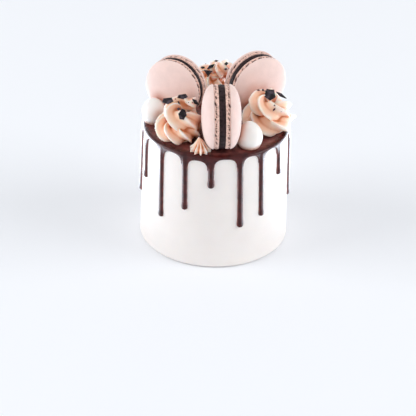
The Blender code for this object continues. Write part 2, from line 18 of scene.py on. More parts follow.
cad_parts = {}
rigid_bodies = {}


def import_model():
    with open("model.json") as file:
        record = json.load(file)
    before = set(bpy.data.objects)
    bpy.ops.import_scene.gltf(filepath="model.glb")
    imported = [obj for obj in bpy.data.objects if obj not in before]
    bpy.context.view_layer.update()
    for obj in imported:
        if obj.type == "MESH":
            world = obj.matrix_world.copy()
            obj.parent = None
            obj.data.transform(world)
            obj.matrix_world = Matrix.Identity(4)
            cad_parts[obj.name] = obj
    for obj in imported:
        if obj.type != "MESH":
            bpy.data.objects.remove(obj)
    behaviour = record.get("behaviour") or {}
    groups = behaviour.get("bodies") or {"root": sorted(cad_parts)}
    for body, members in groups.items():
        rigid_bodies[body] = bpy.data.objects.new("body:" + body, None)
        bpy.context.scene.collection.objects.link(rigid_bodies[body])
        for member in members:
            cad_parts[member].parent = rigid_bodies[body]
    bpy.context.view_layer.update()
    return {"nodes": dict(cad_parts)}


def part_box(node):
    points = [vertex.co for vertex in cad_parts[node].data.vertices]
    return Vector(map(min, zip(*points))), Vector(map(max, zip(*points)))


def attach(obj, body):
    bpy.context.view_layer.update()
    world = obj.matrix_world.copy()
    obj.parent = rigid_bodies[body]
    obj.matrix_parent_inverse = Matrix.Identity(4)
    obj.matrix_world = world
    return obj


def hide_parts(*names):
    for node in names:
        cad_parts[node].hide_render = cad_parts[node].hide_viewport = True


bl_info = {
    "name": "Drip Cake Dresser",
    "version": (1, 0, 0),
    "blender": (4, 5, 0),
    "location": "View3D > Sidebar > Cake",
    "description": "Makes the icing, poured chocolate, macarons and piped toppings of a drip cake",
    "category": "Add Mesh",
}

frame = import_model()

BODY = "root"
MM = 0.001
UP = Vector((0, 0, 1))
WHITE = (1, 1, 1)

# Heights of the iced body, the poured disc and the feet of the toppings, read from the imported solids
BODY_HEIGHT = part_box("cake_body")[1].z
POUR_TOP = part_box("ganache")[1].z
TOP_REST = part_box("sweet_left")[0].z

# Iced side: it tapers up to its rim, flares a little at its foot, and is rounded at both
BODY_RIM_RADIUS = 50.2 * MM
BODY_FOOT_RADIUS = 52.6 * MM
BODY_FOOT_FLARE = 0.3 * MM
BODY_FLARE_FADE = 5.0 * MM
BODY_FOOT_ROUND = 3.0 * MM
BODY_FOOT_RISE = 2.1 * MM
BODY_RIM_ROUND = 0.8 * MM
BODY_SIDES = 320
BODY_ROWS = 96
BODY_FOOT_STEPS = 8
BODY_RIM_STEPS = 4
# Its unevenness starts below the chocolate's edge, reaches full height lower down, and fades at the foot
UNEVEN_FROM = 14 * MM
UNEVEN_FADE = 10 * MM
UNEVEN_FOOT_FADE = 4 * MM
STREAK_SHARE = 0.25

# Poured disc: how far its edge stands off the icing, and how far it sinks into it
POUR_EDGE = 1.2 * MM
POUR_SUNK = 0.25 * MM
# The disc's rounded shoulder: distance in from its outer edge and below its top, in mm
POUR_SHOULDER = ((4.2, 0.0), (2.8, 0.12), (1.6, 0.4), (0.7, 0.85), (0.2, 1.4), (0.0, 1.9))
# The lip under the shoulder: share of the edge, height above the edge's end, and its turn in and down
LIP_SHARE = 0.85
LIP_HIGH = 0.5 * MM
LIP_IN = 0.45 * MM
LIP_LOW = 0.05 * MM
# The disc's edge hangs in arches between the drips, and one arch is lower than the others
ARCH_HEIGHT = 85.8 * MM
ARCH_UNEVEN = 0.8 * MM
ARCH_DROP = 6.5 * MM
ARCH_POWER = 2.6
ARCH_POINTS = 25
LOW_ARCH_FROM = -24.2
LOW_ARCH_BY = 2.3 * MM
# Waves in the disc's flat top, within this depth of it and this far in from the rim
WAVES_DEEP = 0.6 * MM
WAVES_IN = 1.0 * MM

# Drips: turn from the front in degrees, and height of the tip in mm; all lean a little the same way
FRONT_DRIPS = (
    (-89.0, 32.0),
    (-69.6, 52.0),
    (-46.1, 31.4),
    (-24.2, 43.8),
    (-3.4, 63.2),
    (19.2, 31.5),
    (37.8, 36.2),
    (58.1, 61.8),
    (86.0, 31.5),
)
DRIP_COUNT = 17
DRIP_SEED = 11
DRIP_SIDES = 14
DRIP_ROWS = 48
DRIP_LEAN = 1.3
DRIP_ROOT_BELOW = 0.2 * MM
DRIP_WIDTH_SHARES = (0.93, 1.04)
DRIP_SWAY = 0.25 * MM
BACK_DRIP_TIPS = (34.0, 62.0)
BACK_DRIP_UNEVEN = 2.0
# Width of a drip as shares of its half width: what its root adds, over which length, then its neck
ROOT_FLARE = 0.9
ROOT_LENGTH = 3.2 * MM
ROOT_POWER = 1.2
NECK_WIDTH = 0.94
NECK_WAIST = 0.06
# Depth of a drip as shares: at its root, and where it is full
ROOT_DEPTH = 0.72
FULL_DEPTH_BELOW = 7 * MM
BODY_DEPTH = 0.94
# The bead at a drip's tip: share that it adds, height above the tip and spread, for the width and the depth
WIDE_BEAD = (0.12, 3.0 * MM, 2.6 * MM)
DEEP_BEAD = (0.22, 2.6 * MM, 2.4 * MM)
# The rounded end of a drip: its height, and the smallest share that it closes to
TIP_CAP = 1.9 * MM
TIP_CLOSED = 0.05

# The poured skin: smoothing rounds, and the share of its triangles that is kept
POUR_SOFTEN = 4
POUR_KEEP = 0.48
# Chocolate nearer to the icing than this is thin and painted browner and lighter, partly its own colour and
# partly a painted highlight on the drips' edges; the sheet in from the rim gets part of that colour as
# painted reflected light on the top
THIN_EDGE = 1.1 * MM
SHEET_IN = 0.5 * MM
SHEET_FADE = 3.0 * MM
SHEET_LIGHT_SHARE = 0.50

# Macarons: which shell nodes lie on each filling node
MACARONS = {
    "left": ("near", "far"),
    "right": ("near", "far"),
    "front": ("right", "left"),
}
FILLING_BULGE = 0.4 * MM
FILLING_OVERLAP = 0.25 * MM
FILLING_ROUND = 0.5 * MM
FILLING_ROUGH = 0.22 * MM
FILLING_ROWS = 12
# A shell's section, in shares of its radius: underside, foot, the foot's belly, the waist above it, and dome
SHELL_FOOT = 3.1 * MM
SHELL_UNDER = 0.955
FOOT_SIDE = 0.974
FOOT_BELLY = 0.018
WAIST_IN = 0.02
WAIST_FROM = 0.9
DOME_EDGE = 0.995
DOME_ROUND = 0.9
DOME_POWER = 2.3
SHELL_SIDES = 360
FOOT_ROWS = 20
DOME_ROWS = 26
# Holes in a foot, with lengths in mm: half length and half height, smallest and what a large hole adds, gap
# to the next hole, height as a share of the foot, depth share, and slant along the foot
CRAG_HALF_LONG = 0.35
CRAG_LONGER = 1.5
CRAG_HALF_HIGH = (0.25, 0.50)
CRAG_HIGHER = 0.35
CRAG_GAP = (0.2, 1.3)
CRAG_LEVEL = (0.52, 0.82)
CRAG_DEEP = (0.5, 1.0)
CRAG_SLANT = 0.25
# Heights of the ruffles and frills of a foot, and of the slow unevenness of the smooth crust
FOOT_RUFFLE = 0.22 * MM
CRUST_WARP = 0.10 * MM
CRUST_LIFT = 0.06 * MM
# The foot's crumb blends into the crust over this height, and reaches in to this share of the radius
FOOT_BLEND = 0.7 * MM
FOOT_EDGE = 0.93
FLAT_FACE = 0.3

# Piped swirls: centre, base radius and height in mm, start angle in degrees, turns, twists, share of the
# twists that is lost towards the peak, and how far the peak leans to the right in mm
Swirl = namedtuple("Swirl", "x y radius height start turns twists slows lean")
SWIRLS = {
    "left": Swirl(-24.8, -23.6, 17.0, 26.2, 60.0, 2.3, 7.8, 0.38, 4.5),
    "right": Swirl(36.4, -8.5, 18.0, 25.2, 120.0, 2.3, 4.0, 0.0, 0.0),
    "back": Swirl(-1.0, 35.6, 17.2, 27.4, 260.0, 2.2, 5.5, 0.0, 0.0),
}
# Macarons that each swirl is pressed against
BESIDE_SWIRL = {"left": ("left", "front"), "right": ("right",), "back": ("left", "right")}
SWIRL_SOFTEN = 2
# The rope: its radius as a share of the swirl's, the share of its length that lies flat, and how it climbs
ROPE_STATIONS = 220
ROPE_SIDES = 64
ROPE_STEP = 0.004
ROPE_THICK = 0.42
ROPE_FLAT = 0.36
ROPE_LOW = 0.86
ROPE_CLOSING = 1.6
ROPE_CLIMB = 0.8
ROPE_LEAN = 1.5
# How far the rope's way and width wander, as shares, and how far the width's wander is shifted along
ROPE_WANDER = 0.07
ROPE_UNEVEN = 0.10
ROPE_UNEVEN_SHIFT = 0.2
# The rope's taper towards the peak, its rounded last stretch and its narrower first one
ROPE_TAPER = 0.25
ROPE_END = 0.20
ROPE_END_ROUND = 0.8
ROPE_START = 0.04
ROPE_START_WIDTH = 0.6
ROPE_LEAST = 0.2 * MM
# Section of the rope: its ridges' reach and how sharp the bottom of a groove is
RIDGE_REACH = 1.15
GROOVE_ROUND = 0.04
GROOVE_POWER = 0.8
# Core inside the rope: shares of the swirl's height and of its radius below and above
CORE_HIGH = 0.66
CORE_RADII = (0.6, 0.35)
CORE_SIDES = 24
# Smoothing rounds and the height that counts as a full crest, fine and coarse
SWIRL_CRESTS = ((24, 0.14 * MM), (160, 0.6 * MM))
STAR_CRESTS = ((40, 0.14 * MM),)

# Flakes: turn and slope seen from the swirl's middle in degrees, length and width in mm, spin in degrees
# and number of corners; their faces look mostly to the front and up
Flake = namedtuple("Flake", "turn slope length width spin corners")
FLAKES = {
    "left": (
        Flake(152.8, 51.1, 7.8, 4.4, 15.0, 5),
        Flake(74.7, 70.6, 7.2, 3.5, 8.0, 5),
        Flake(279.3, 41.9, 7.0, 5.8, 80.0, 6),
        Flake(2.8, 53.5, 7.0, 2.6, -48.0, 4),
        Flake(231.8, 80.0, 2.4, 2.0, 0.0, 4),
        Flake(10.0, 75.0, 4.0, 1.8, 90.0, 4),
        Flake(330.0, 66.0, 2.6, 1.8, 90.0, 4),
    ),
    "right": (
        Flake(112.6, 83.2, 8.2, 8.4, 0.0, 5),
        Flake(45.0, 42.0, 8.6, 2.2, -40.0, 4),
        Flake(281.0, 36.0, 3.2, 1.4, 50.0, 4),
        Flake(154.3, 58.5, 2.6, 1.2, 0.0, 4),
        Flake(148.2, 68.6, 1.9, 1.1, 10.0, 4),
    ),
    "back": (
        Flake(152.9, 36.6, 3.2, 1.9, 5.0, 5),
        Flake(235.6, 63.2, 7.2, 2.6, 42.0, 4),
        Flake(207.2, 47.7, 6.4, 4.8, 8.0, 3),
        Flake(91.6, 53.0, 3.2, 1.2, 10.0, 4),
        Flake(339.9, 63.3, 3.2, 2.7, 0.0, 4),
        Flake(310.3, 53.0, 2.4, 1.6, 0.0, 4),
    ),
}
FLAKE_SEED = 40
FLAKE_FACING = Vector((0.0, -0.853, 0.522))
FLAKE_FACING_SHARE = 3
# Painted sheen: bluish patches on the flakes
FLAKE_PAINTED_SHEEN = (0.10, 0.075, 0.095)
FLAKE_CREASE = 35
# How deep a flake is pressed in as a share of its thickness, and where the cream under it is felt for
FLAKE_SINK = 0.2
FLAKE_FEELERS = (-0.45, -0.22, 0.0, 0.22, 0.45)
FLAKE_FEEL_FROM = 12 * MM
# A flake's levels as shares of its thickness, with its size there, and how far its face is crowned
FLAKE_LEVELS = ((-0.5, 0.94), (0.3, 1.0), (0.5, 0.90))
FLAKE_CROWN = 0.12
SHARD_SKEW = 0.12
SHARD_CHIP = 0.07
SHARD_CHIP_AT = (0.35, 0.65)
# Crumbs of chocolate: turn and slope of a patch, its spread in degrees and the number of crumbs
CRUMBS = {
    "left": ((110.0, 74.0, 14.0, 8), (330.0, 68.0, 12.0, 5)),
    "right": ((150.0, 66.0, 10.0, 4), (280.0, 40.0, 12.0, 3)),
    "back": ((190.0, 56.0, 25.0, 6), (330.0, 56.0, 15.0, 4)),
}
CRUMB_SIZE = (0.3, 0.75)
CRUMB_SLOPE_SPREAD = 0.6
CRUMB_STEEPEST = 84.0
CRUMB_LIFT = 0.2
CRUMB_UNEVEN = (0.65, 1.15)
CRUMB_FLAT = 0.7
# A ray starts this far from a swirl's middle, which is this share of its height up
RAY_LENGTH = 0.05
SWIRL_MIDDLE = 0.45

# Sweets: the macaron beside each, and the shares of the lean and the point that it has
SWEETS = {"sweet_left": ("left", 0.0), "sweet_right": ("front", 1.0)}
SWEET_SIDES = 96
SWEET_ROWS = 44
# Shares of the height at which a sweet is widest and starts to lean, and how far its base draws in
SWEET_WIDEST = 0.42
SWEET_LEAN_FROM = 0.4
SWEET_BASE_IN = 0.22
SWEET_BASE_POWER = 2.4
SWEET_HEAD_POWER = 2.1
SWEET_HEAD_ROUND = 0.55
SWEET_POINT_ROUND = 0.3

# Small piped star: centre in mm, then its size, lean, ridges, and turns in degrees at its foot and up to
# its peak
STAR_PLACE = (-10.2, -43.6)
STAR_RADIUS = 8.0 * MM
STAR_HEIGHT = 10.4 * MM
STAR_LEAN = -1.4 * MM
STAR_RIDGES = 10
STAR_RIDGE_SIDES = 18
STAR_ROWS = 40
STAR_TURN = 20.0
STAR_TWIST = 10.0
# Its outline: taper, share at its foot, what its belly adds, how soon the belly ends, and the least share
STAR_TAPER = 1.15
STAR_FOOT = 0.90
STAR_BELLY = 0.1575
STAR_BELLY_ENDS = 2.2
STAR_LEAST = 0.02
# Its ridges: their reach, depth of the grooves, roundness of their bottoms and how much they fade upwards
STAR_RIDGE_REACH = 1.04
STAR_GROOVE = 0.42
STAR_GROOVE_ROUND = 0.06
STAR_GROOVE_FADE = 0.45

# Soft pieces stay this far from the macarons that they are pressed against
PRESS_CLEARANCE = 0.45 * MM
# Pale pieces are painted warmer and darker as shade where others come nearer than this, and lower down on the
# chocolate
CONTACT_REACH = 8 * MM
CONTACT_FOOT = 0.6
CONTACT_DOWN = 0.7
CONTACT_FACING = 0.4
PAINTED_SHADE_TINT = (0.72, 0.42, 0.32)

# View of the studio: angles in degrees, lens and sensor in mm
CAMERA_TARGET = Vector((-0.004123, 0.0, 0.016564))
CAMERA_DISTANCE = 1.0863
CAMERA_LIFT = 31.489
CAMERA_ROLL = 1.585
CAMERA_LENS = 130.5
SENSOR_WIDTH = 36.0
# Surroundings: their colour, and the shares from front to back between which they change
SKY_COLOUR = (0.955, 0.975, 1.0)
SKY_CHANGE = (0.15, 0.75)
FLOOR_HALF = 4.0
# The light at each side: how far out, behind and up it is, its width and height, and the height it aims at
SIDE_LIGHT = (2.6, -0.5, 1.5)
SIDE_LIGHT_SIZE = (1.9, 1.7)
SIDE_LIGHT_AIM = 0.07
# Cards that shine in the glossy chocolate, one that stands and one that lies at each side: how far out and
# behind its middle is, and its width and height or depth
STANDING_CARD = (0.11, 0.06, 0.24, 0.125)
LYING_CARD = (0.20, 0.06, 0.26, 0.36)
LYING_CARD_LIFT = 2 * MM
CARD_COLOUR = (0.80, 0.89, 1.0)


def colour_setting(name, description, default):
    """A colour that the user can change."""
    return FloatVectorProperty(
        name=name, description=description, subtype="COLOR", size=3, default=default, min=0, max=1
    )


def length_setting(name, description, default, low, high):
    """A length that the user can change, given in mm."""
    return FloatProperty(
        name=name, description=description, subtype="DISTANCE",
        default=default * MM, min=low * MM, max=high * MM,
    )


def power_setting(name, description, default, high):
    """The power of a light in watts."""
    return FloatProperty(
        name=name, description=description, subtype="POWER", default=default, min=0, max=high
    )


def share_setting(name, description, default, high=1):
    """A share that the user can change."""
    return FloatProperty(
        name=name, description=description, subtype="FACTOR", default=default, min=0, max=high
    )


class IcingLook(bpy.types.PropertyGroup):
    """Smooth icing round the body."""

    colour: colour_setting("Icing", "Colour of the icing", (0.905, 0.85, 0.815))
    unevenness: length_setting("Unevenness", "How far the scraped side wanders in and out", 0.12, 0, 1)


class ChocolateLook(bpy.types.PropertyGroup):
    """Poured chocolate and its drips."""

    colour: colour_setting("Chocolate", "Colour of the poured chocolate", (0.068, 0.0075, 0.0068))
    # Painted light: the thin colour is partly thin chocolate's own colour and partly painted highlight and
    # reflected light
    thin_and_lit_colour: colour_setting("Thin chocolate", "Colour where the chocolate lies thin", (0.38, 0.125, 0.11))
    drip_half_width: length_setting("Drip half width", "Half the width of a drip", 2.4, 0.5, 6)
    drip_depth: length_setting("Drip depth", "How far a drip stands off the icing", 1.9, 0.5, 4)
    voxel: length_setting("Surface grain", "Size of the steps in which the poured skin is made", 0.38, 0.2, 2)
    waviness: length_setting("Waviness", "Height of the slow waves in the poured top", 0.14, 0, 1)


class MacaronLook(bpy.types.PropertyGroup):
    """Almond shells and their dark filling."""

    shell_colour: colour_setting("Shell", "Colour of the smooth crust", (0.885, 0.665, 0.605))
    foot_colour: colour_setting("Foot", "Colour of the crumbly foot", (0.84, 0.53, 0.44))
    # Painted shade: the crag colour is shade painted deep in the holes of the foot
    crag_shade_colour: colour_setting("Crags", "Colour deep in the holes of the foot", (0.07, 0.022, 0.018))
    filling_colour: colour_setting("Filling", "Colour of the filling", (0.019, 0.010, 0.011))
    crag_depth: length_setting("Crag depth", "Depth of the holes in the foot", 1.0, 0, 2)


class ButtercreamLook(bpy.types.PropertyGroup):
    """Piped swirls and star."""

    # Painted light: the crest colour is a painted highlight and the fold colour painted shade
    crest_highlight_colour: colour_setting("Crests", "Colour where the cream stands out", (1.0, 0.85, 0.76))
    cream_colour: colour_setting("Cream", "Colour of the cream between crests and folds", (1.0, 0.62, 0.43))
    fold_shade_colour: colour_setting("Folds", "Colour down in the folds", (0.72, 0.26, 0.11))
    voxel: length_setting("Surface grain", "Size of the steps in which the piped skin is made", 0.36, 0.2, 2)
    points: IntProperty(
        name="Nozzle points", description="Points of the star nozzle", default=3, min=3, max=12
    )
    groove: share_setting("Groove", "Depth of the grooves as a share of the rope", 0.60, 0.8)


class FlakeLook(bpy.types.PropertyGroup):
    """Flakes and crumbs of dark chocolate."""

    colour: colour_setting("Flakes", "Colour of the chocolate flakes", (0.007, 0.004, 0.006))
    thickness: length_setting("Thickness", "Thickness of a flake", 1.3, 0.2, 3)


class SweetLook(bpy.types.PropertyGroup):
    """Round cream sweets."""

    colour: colour_setting("Sweets", "Colour of the sweets", (0.90, 0.86, 0.82))
    lean: length_setting("Lean", "How far the tip of the right sweet leans to the left", 1.2, 0, 4)
    point: share_setting("Point", "How pointed the head of the right sweet is", 0.35)


class StudioLook(bpy.types.PropertyGroup):
    """Floor, lights and surroundings."""

    floor_colour: colour_setting("Floor", "Colour of the pale floor", (0.915, 0.925, 0.95))
    side_power: power_setting("Side lights", "Power of each soft light at the side", 36.0, 200)
    card_power: power_setting("Standing cards", "Power of each standing card that shines in gloss", 0.6, 5)
    low_card_power: power_setting("Lying cards", "Power of each lying card that shines in gloss", 1.1, 5)
    front_share: share_setting("Front share", "Brightness in front as a share of that behind", 0.97)
    sky: FloatProperty(
        name="Surroundings", description="Brightness of the white surroundings", default=0.715, min=0, max=5
    )


class CakeSettings(bpy.types.PropertyGroup):
    """Everything that a user can change."""

    icing: PointerProperty(type=IcingLook)
    chocolate: PointerProperty(type=ChocolateLook)
    macaron: PointerProperty(type=MacaronLook)
    buttercream: PointerProperty(type=ButtercreamLook)
    flake: PointerProperty(type=FlakeLook)
    sweet: PointerProperty(type=SweetLook)
    studio: PointerProperty(type=StudioLook)


# Meshes

def ring_at(build, radii, height):
    """A level ring of points evenly round the axis, one for each radius."""
    ring = []
    for i, radius in enumerate(radii):
        angle = 2 * math.pi * i / len(radii)
        ring.append(build.verts.new((radius * math.cos(angle), radius * math.sin(angle), height)))
    return ring


def bridge(build, rings):
    """Quads between each ring and the next, which have the same number of points."""
    for lower, upper in zip(rings, rings[1:]):
        count = len(lower)
        for i in range(count):
            after = (i + 1) % count
            build.faces.new((lower[i], lower[after], upper[after], upper[i]))


def close_ends(build, rings):
    """A tube through the rings, shut at both ends."""
    bridge(build, rings)
    build.faces.new(rings[0])
    build.faces.new(rings[-1])


def close_peak(build, rings, peak):
    """A tube through the rings, shut by a face below and drawn to a point above."""
    build.faces.new(rings[0])
    bridge(build, rings)
    middle = build.verts.new(peak)
    top = rings[-1]
    for i, vert in enumerate(top):
        build.faces.new((vert, top[(i + 1) % len(top)], middle))


def mesh_from(build, name):
    """Turn a bmesh's faces outwards and return it as a smooth mesh."""
    bmesh.ops.recalc_face_normals(build, faces=build.faces[:])
    mesh = bpy.data.meshes.new(name)
    build.to_mesh(mesh)
    build.free()
    mesh.shade_smooth()
    return mesh


def linked(name, data):
    """A new object in the scene."""
    made = bpy.data.objects.new(name, data)
    bpy.context.scene.collection.objects.link(made)
    return made


def place(name, mesh, finish, slot, *nodes):
    """Link a mesh as a piece of the cake, in place of the named solids."""
    mesh.materials.clear()
    mesh.materials.append(finish)
    piece = linked(name, mesh)
    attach(piece, BODY)
    if nodes:
        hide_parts(*nodes)


def points_of(mesh):
    """All points of a mesh as an array."""
    flat = np.zeros(len(mesh.vertices) * 3, np.float32)
    mesh.vertices.foreach_get("co", flat)
    return flat.reshape(-1, 3).astype(float)


def reach_of(points):
    """Distance of each point of an array from the upright axis."""
    return np.hypot(points[:, 0], points[:, 1])


def normals_of(mesh):
    """The way out at each point of a mesh."""
    flat = np.zeros(len(mesh.vertices) * 3, np.float32)
    mesh.vertices.foreach_get("normal", flat)
    return flat.reshape(-1, 3)


def turned_mesh(name, profile, sides, peak=None):
    """A round mesh from a profile of radii and heights, shut flat on top or drawn up to a peak."""
    build = bmesh.new()
    rings = [ring_at(build, [radius] * sides, height) for radius, height in profile]
    if peak is None:
        close_ends(build, rings)
    else:
        close_peak(build, rings, (0, 0, peak))
    return mesh_from(build, name)


def set_points(mesh, points):
    """Write an array of points back to a mesh."""
    mesh.vertices.foreach_set("co", points.astype(np.float32).ravel())
    mesh.update()


def set_share(mesh, name, values):
    """Store one number for each point, for the material to read."""
    attribute = mesh.attributes.new(name, "FLOAT", "POINT")
    attribute.data.foreach_set("value", np.asarray(values, np.float32))


def one_skin(mesh, voxel, soften, keep=1.0):
    """Merge overlapping closed shapes into one soft skin that keeps a share of its triangles."""
    holder = linked("to_merge", mesh)
    remesh = holder.modifiers.new("skin", "REMESH")
    remesh.mode = "VOXEL"
    remesh.voxel_size = voxel
    remesh.use_smooth_shade = True
    smooth = holder.modifiers.new("soften", "SMOOTH")
    smooth.factor = 0.5
    smooth.iterations = soften
    if keep < 1:
        fewer = holder.modifiers.new("fewer", "DECIMATE")
        fewer.ratio = keep
    bpy.context.view_layer.update()
    graph = bpy.context.evaluated_depsgraph_get()
    skin = bpy.data.meshes.new_from_object(holder.evaluated_get(graph))
    skin.name = mesh.name
    bpy.data.objects.remove(holder)
    bpy.data.meshes.remove(mesh)
    return keep_largest(skin)


def edge_ends(mesh):
    """The two point numbers of every edge."""
    ends = np.zeros(len(mesh.edges) * 2, np.int64)
    mesh.edges.foreach_get("vertices", ends)
    return ends[0::2], ends[1::2]


def keep_largest(mesh):
    """Drop all but the largest connected skin, so that no sealed hollow or scrap stays."""
    first, second = edge_ends(mesh)
    label = np.arange(len(mesh.vertices))
    while True:
        low = np.minimum(label[first], label[second])
        after = label.copy()
        np.minimum.at(after, first, low)
        np.minimum.at(after, second, low)
        after = after[after]
        if np.array_equal(after, label):
            break
        label = after
    kinds, counts = np.unique(label, return_counts=True)
    if len(kinds) == 1:
        return mesh
    scraps = label != kinds[counts.argmax()]
    build = bmesh.new()
    build.from_mesh(mesh)
    build.verts.ensure_lookup_table()
    bmesh.ops.delete(build, geom=[build.verts[i] for i in np.flatnonzero(scraps)], context="VERTS")
    build.to_mesh(mesh)
    build.free()
    return mesh


def outward(mesh, rounds):
    """How far each point stands out of its surroundings, in metres: crests are positive, folds negative."""
    points = points_of(mesh)
    first, second = edge_ends(mesh)
    count = len(points)
    degree = np.bincount(first, minlength=count) + np.bincount(second, minlength=count)
    smooth = points.copy()
    for _ in range(rounds):
        mean = np.zeros_like(smooth)
        for axis in range(3):
            mean[:, axis] += np.bincount(first, smooth[second, axis], minlength=count)
            mean[:, axis] += np.bincount(second, smooth[first, axis], minlength=count)
        smooth = 0.5 * smooth + 0.5 * mean / degree[:, None]
    return ((points - smooth) * normals_of(mesh)).sum(1)


def set_crest(mesh, scales):
    """Store how far each point stands out, from 0 deep in a fold to 1 on a sharp crest."""
    height = sum(outward(mesh, rounds) / full for rounds, full in scales)
    set_share(mesh, "crest", np.clip(0.5 + height / (2 * len(scales)), 0, 1))


def ripple(points, scale, seed, octaves):
    """Smooth noise from -1 to 1 at each point, with features about 1 / scale wide."""
    shift = Vector((17.1 * seed, 5.3 * seed, 9.7 * seed))
    values = [noise.fractal(Vector(p) * scale + shift, 1.0, 2.0, octaves) for p in points]
    return np.array(values)


def frame_on(axis, origin=(0, 0, 0)):
    """A frame at an origin whose local Z is the axis and whose local X is level."""
    side = UP.cross(axis).normalized()
    over = axis.cross(side)
    made = Matrix((side, over, axis)).transposed().to_4x4()
    made.translation = origin
    return made


def moved(points, matrix):
    """An array of points moved by a matrix."""
    matrix = np.array(matrix)
    return points @ matrix[:3, :3].T + matrix[:3, 3]


# Finishes

def new_finish(name, colour, sockets):
    """A new material and its node tree, its shader set from a table of sockets and their values."""
    made = bpy.data.materials.new(name)
    made.use_nodes = True
    shader = made.node_tree.nodes["Principled BSDF"]
    shader.inputs["Base Color"].default_value = (*colour, 1.0)
    for socket, value in sockets.items():
        shader.inputs[socket].default_value = value
    return made, made.node_tree


def soft_inside(weight, radius, depth):
    """Socket values that let light travel a little way under the surface."""
    return {"Subsurface Weight": weight, "Subsurface Radius": radius, "Subsurface Scale": depth}


def node_noise(tree, scale, detail, stretch=(1.0, 1.0, 1.0)):
    """Noise over the object, its features about 1 / scale wide."""
    place_node = tree.nodes.new("ShaderNodeTexCoord")
    mapping = tree.nodes.new("ShaderNodeMapping")
    mapping.inputs["Scale"].default_value = stretch
    texture = tree.nodes.new("ShaderNodeTexNoise")
    texture.inputs["Scale"].default_value = scale
    texture.inputs["Detail"].default_value = detail
    tree.links.new(place_node.outputs["Object"], mapping.inputs["Vector"])
    tree.links.new(mapping.outputs["Vector"], texture.inputs["Vector"])
    return texture.outputs["Fac"]


def node_share(tree, name):
    """The number that each point of the mesh holds under a name."""
    attribute = tree.nodes.new("ShaderNodeAttribute")
    attribute.attribute_name = name
    return attribute.outputs["Fac"]


def node_ramp(tree, share, *stops):
    """Colour that changes with a share, from (position, colour) stops."""
    ramp = tree.nodes.new("ShaderNodeValToRGB")
    ramp.color_ramp.interpolation = "EASE"
    steps = ramp.color_ramp.elements
    while len(steps) < len(stops):
        steps.new(0.5)
    for step, (position, colour) in zip(steps, stops):
        step.position = position
        step.color = (*colour, 1.0)
    tree.links.new(share, ramp.inputs["Fac"])
    return ramp.outputs["Color"]


def node_mix(tree, share, first, second, blend="MIX"):
    """One colour changed into another by a share; a colour is a socket or three numbers."""
    mix = tree.nodes.new("ShaderNodeMix")
    mix.data_type = "RGBA"
    mix.blend_type = blend
    for socket, value in ((mix.inputs[0], share), (mix.inputs[6], first), (mix.inputs[7], second)):
        if isinstance(value, bpy.types.NodeSocket):
            tree.links.new(value, socket)
        elif isinstance(value, float):
            socket.default_value = value
        else:
            socket.default_value = (*value, 1.0)
    return mix.outputs[2]


def finished(made, colour, *relief):
    """Give a material its colour socket and fine relief from (height socket, depth) layers."""
    tree = made.node_tree
    shader = tree.nodes["Principled BSDF"]
    tree.links.new(colour, shader.inputs["Base Color"])
    normal = None
    for height, depth in relief:
        bump = tree.nodes.new("ShaderNodeBump")
        bump.inputs["Distance"].default_value = depth
        tree.links.new(height, bump.inputs["Height"])
        if normal is not None:
            tree.links.new(normal, bump.inputs["Normal"])
        normal = bump.outputs["Normal"]
    tree.links.new(normal, shader.inputs["Normal"])
    return made


def shade(colour, factor):
    """A colour made lighter or darker."""
    return tuple(min(1.0, channel * factor) for channel in colour)


def clouded(tree, clouds, colour, dark, light, stops=(0.3, 0.7)):
    """A colour that runs from a dark to a light share of itself with the clouds."""
    return node_ramp(tree, clouds, (stops[0], shade(colour, dark)), (stops[1], shade(colour, light)))


def patched(tree, clouds, colour, dark, stops=(0.3, 0.7)):
    """A colour that is darkened in soft patches."""
    patches = node_ramp(tree, clouds, (stops[0], dark), (stops[1], WHITE))
    return node_mix(tree, 1.0, colour, patches, "MULTIPLY")


def with_painted_shade(tree, colour, strength=1.0):
    """A colour with painted shade: warmer and darker where other pieces are near."""
    full = tuple(1 - strength * (1 - channel) for channel in PAINTED_SHADE_TINT)
    tint = node_ramp(tree, node_share(tree, "near"), (0.0, WHITE), (1.0, full))
    return node_mix(tree, 1.0, colour, tint, "MULTIPLY")


def icing_finish(look):
    """Scraped icing: off-white, satin, with faint cloudiness and level scraper marks."""
    sockets = {"Roughness": 0.48, "Specular IOR Level": 0.12, **soft_inside(0.25, (1.0, 0.75, 0.6), 4 * MM)}
    made, tree = new_finish("scraped_icing", look.colour, sockets)
    clouds = node_noise(tree, scale=55.0, detail=2.0)
    scrape = node_noise(tree, scale=120.0, detail=3.0, stretch=(0.6, 0.6, 6.0))
    grain = node_noise(tree, scale=900.0, detail=2.0)
    tint = clouded(tree, clouds, look.colour, dark=0.985, light=1.01)
    return finished(made, tint, (scrape, 0.12 * MM), (grain, 0.04 * MM))


def chocolate_finish(look):
    """Poured dark chocolate, glossy, browner where it lies thin, with a painted highlight on the drips' edges
    and painted reflected light over the top.
    """
    made, tree = new_finish("poured_chocolate", look.colour, {
        "Roughness": 0.24,
        "Specular IOR Level": 0.05,
        "Specular Tint": (1.0, 0.72, 0.68, 1.0),
        "Coat Weight": 1.0,
        "Coat Roughness": 0.22,
        "Coat IOR": 1.36,
        "Sheen Weight": 0.05,
        "Sheen Roughness": 0.2,
        "Sheen Tint": (0.82, 0.90, 1.0, 1.0),
    })
    mottle = node_noise(tree, scale=210.0, detail=4.0)
    slow = node_noise(tree, scale=200.0, detail=3.0)
    fine = node_noise(tree, scale=700.0, detail=2.0)
    tint = node_mix(tree, node_share(tree, "thin"), look.colour, look.thin_and_lit_colour)
    tint = patched(tree, mottle, tint, dark=(0.50, 0.52, 0.56), stops=(0.36, 0.64))
    return finished(made, tint, (slow, 0.5 * MM), (fine, 0.05 * MM))


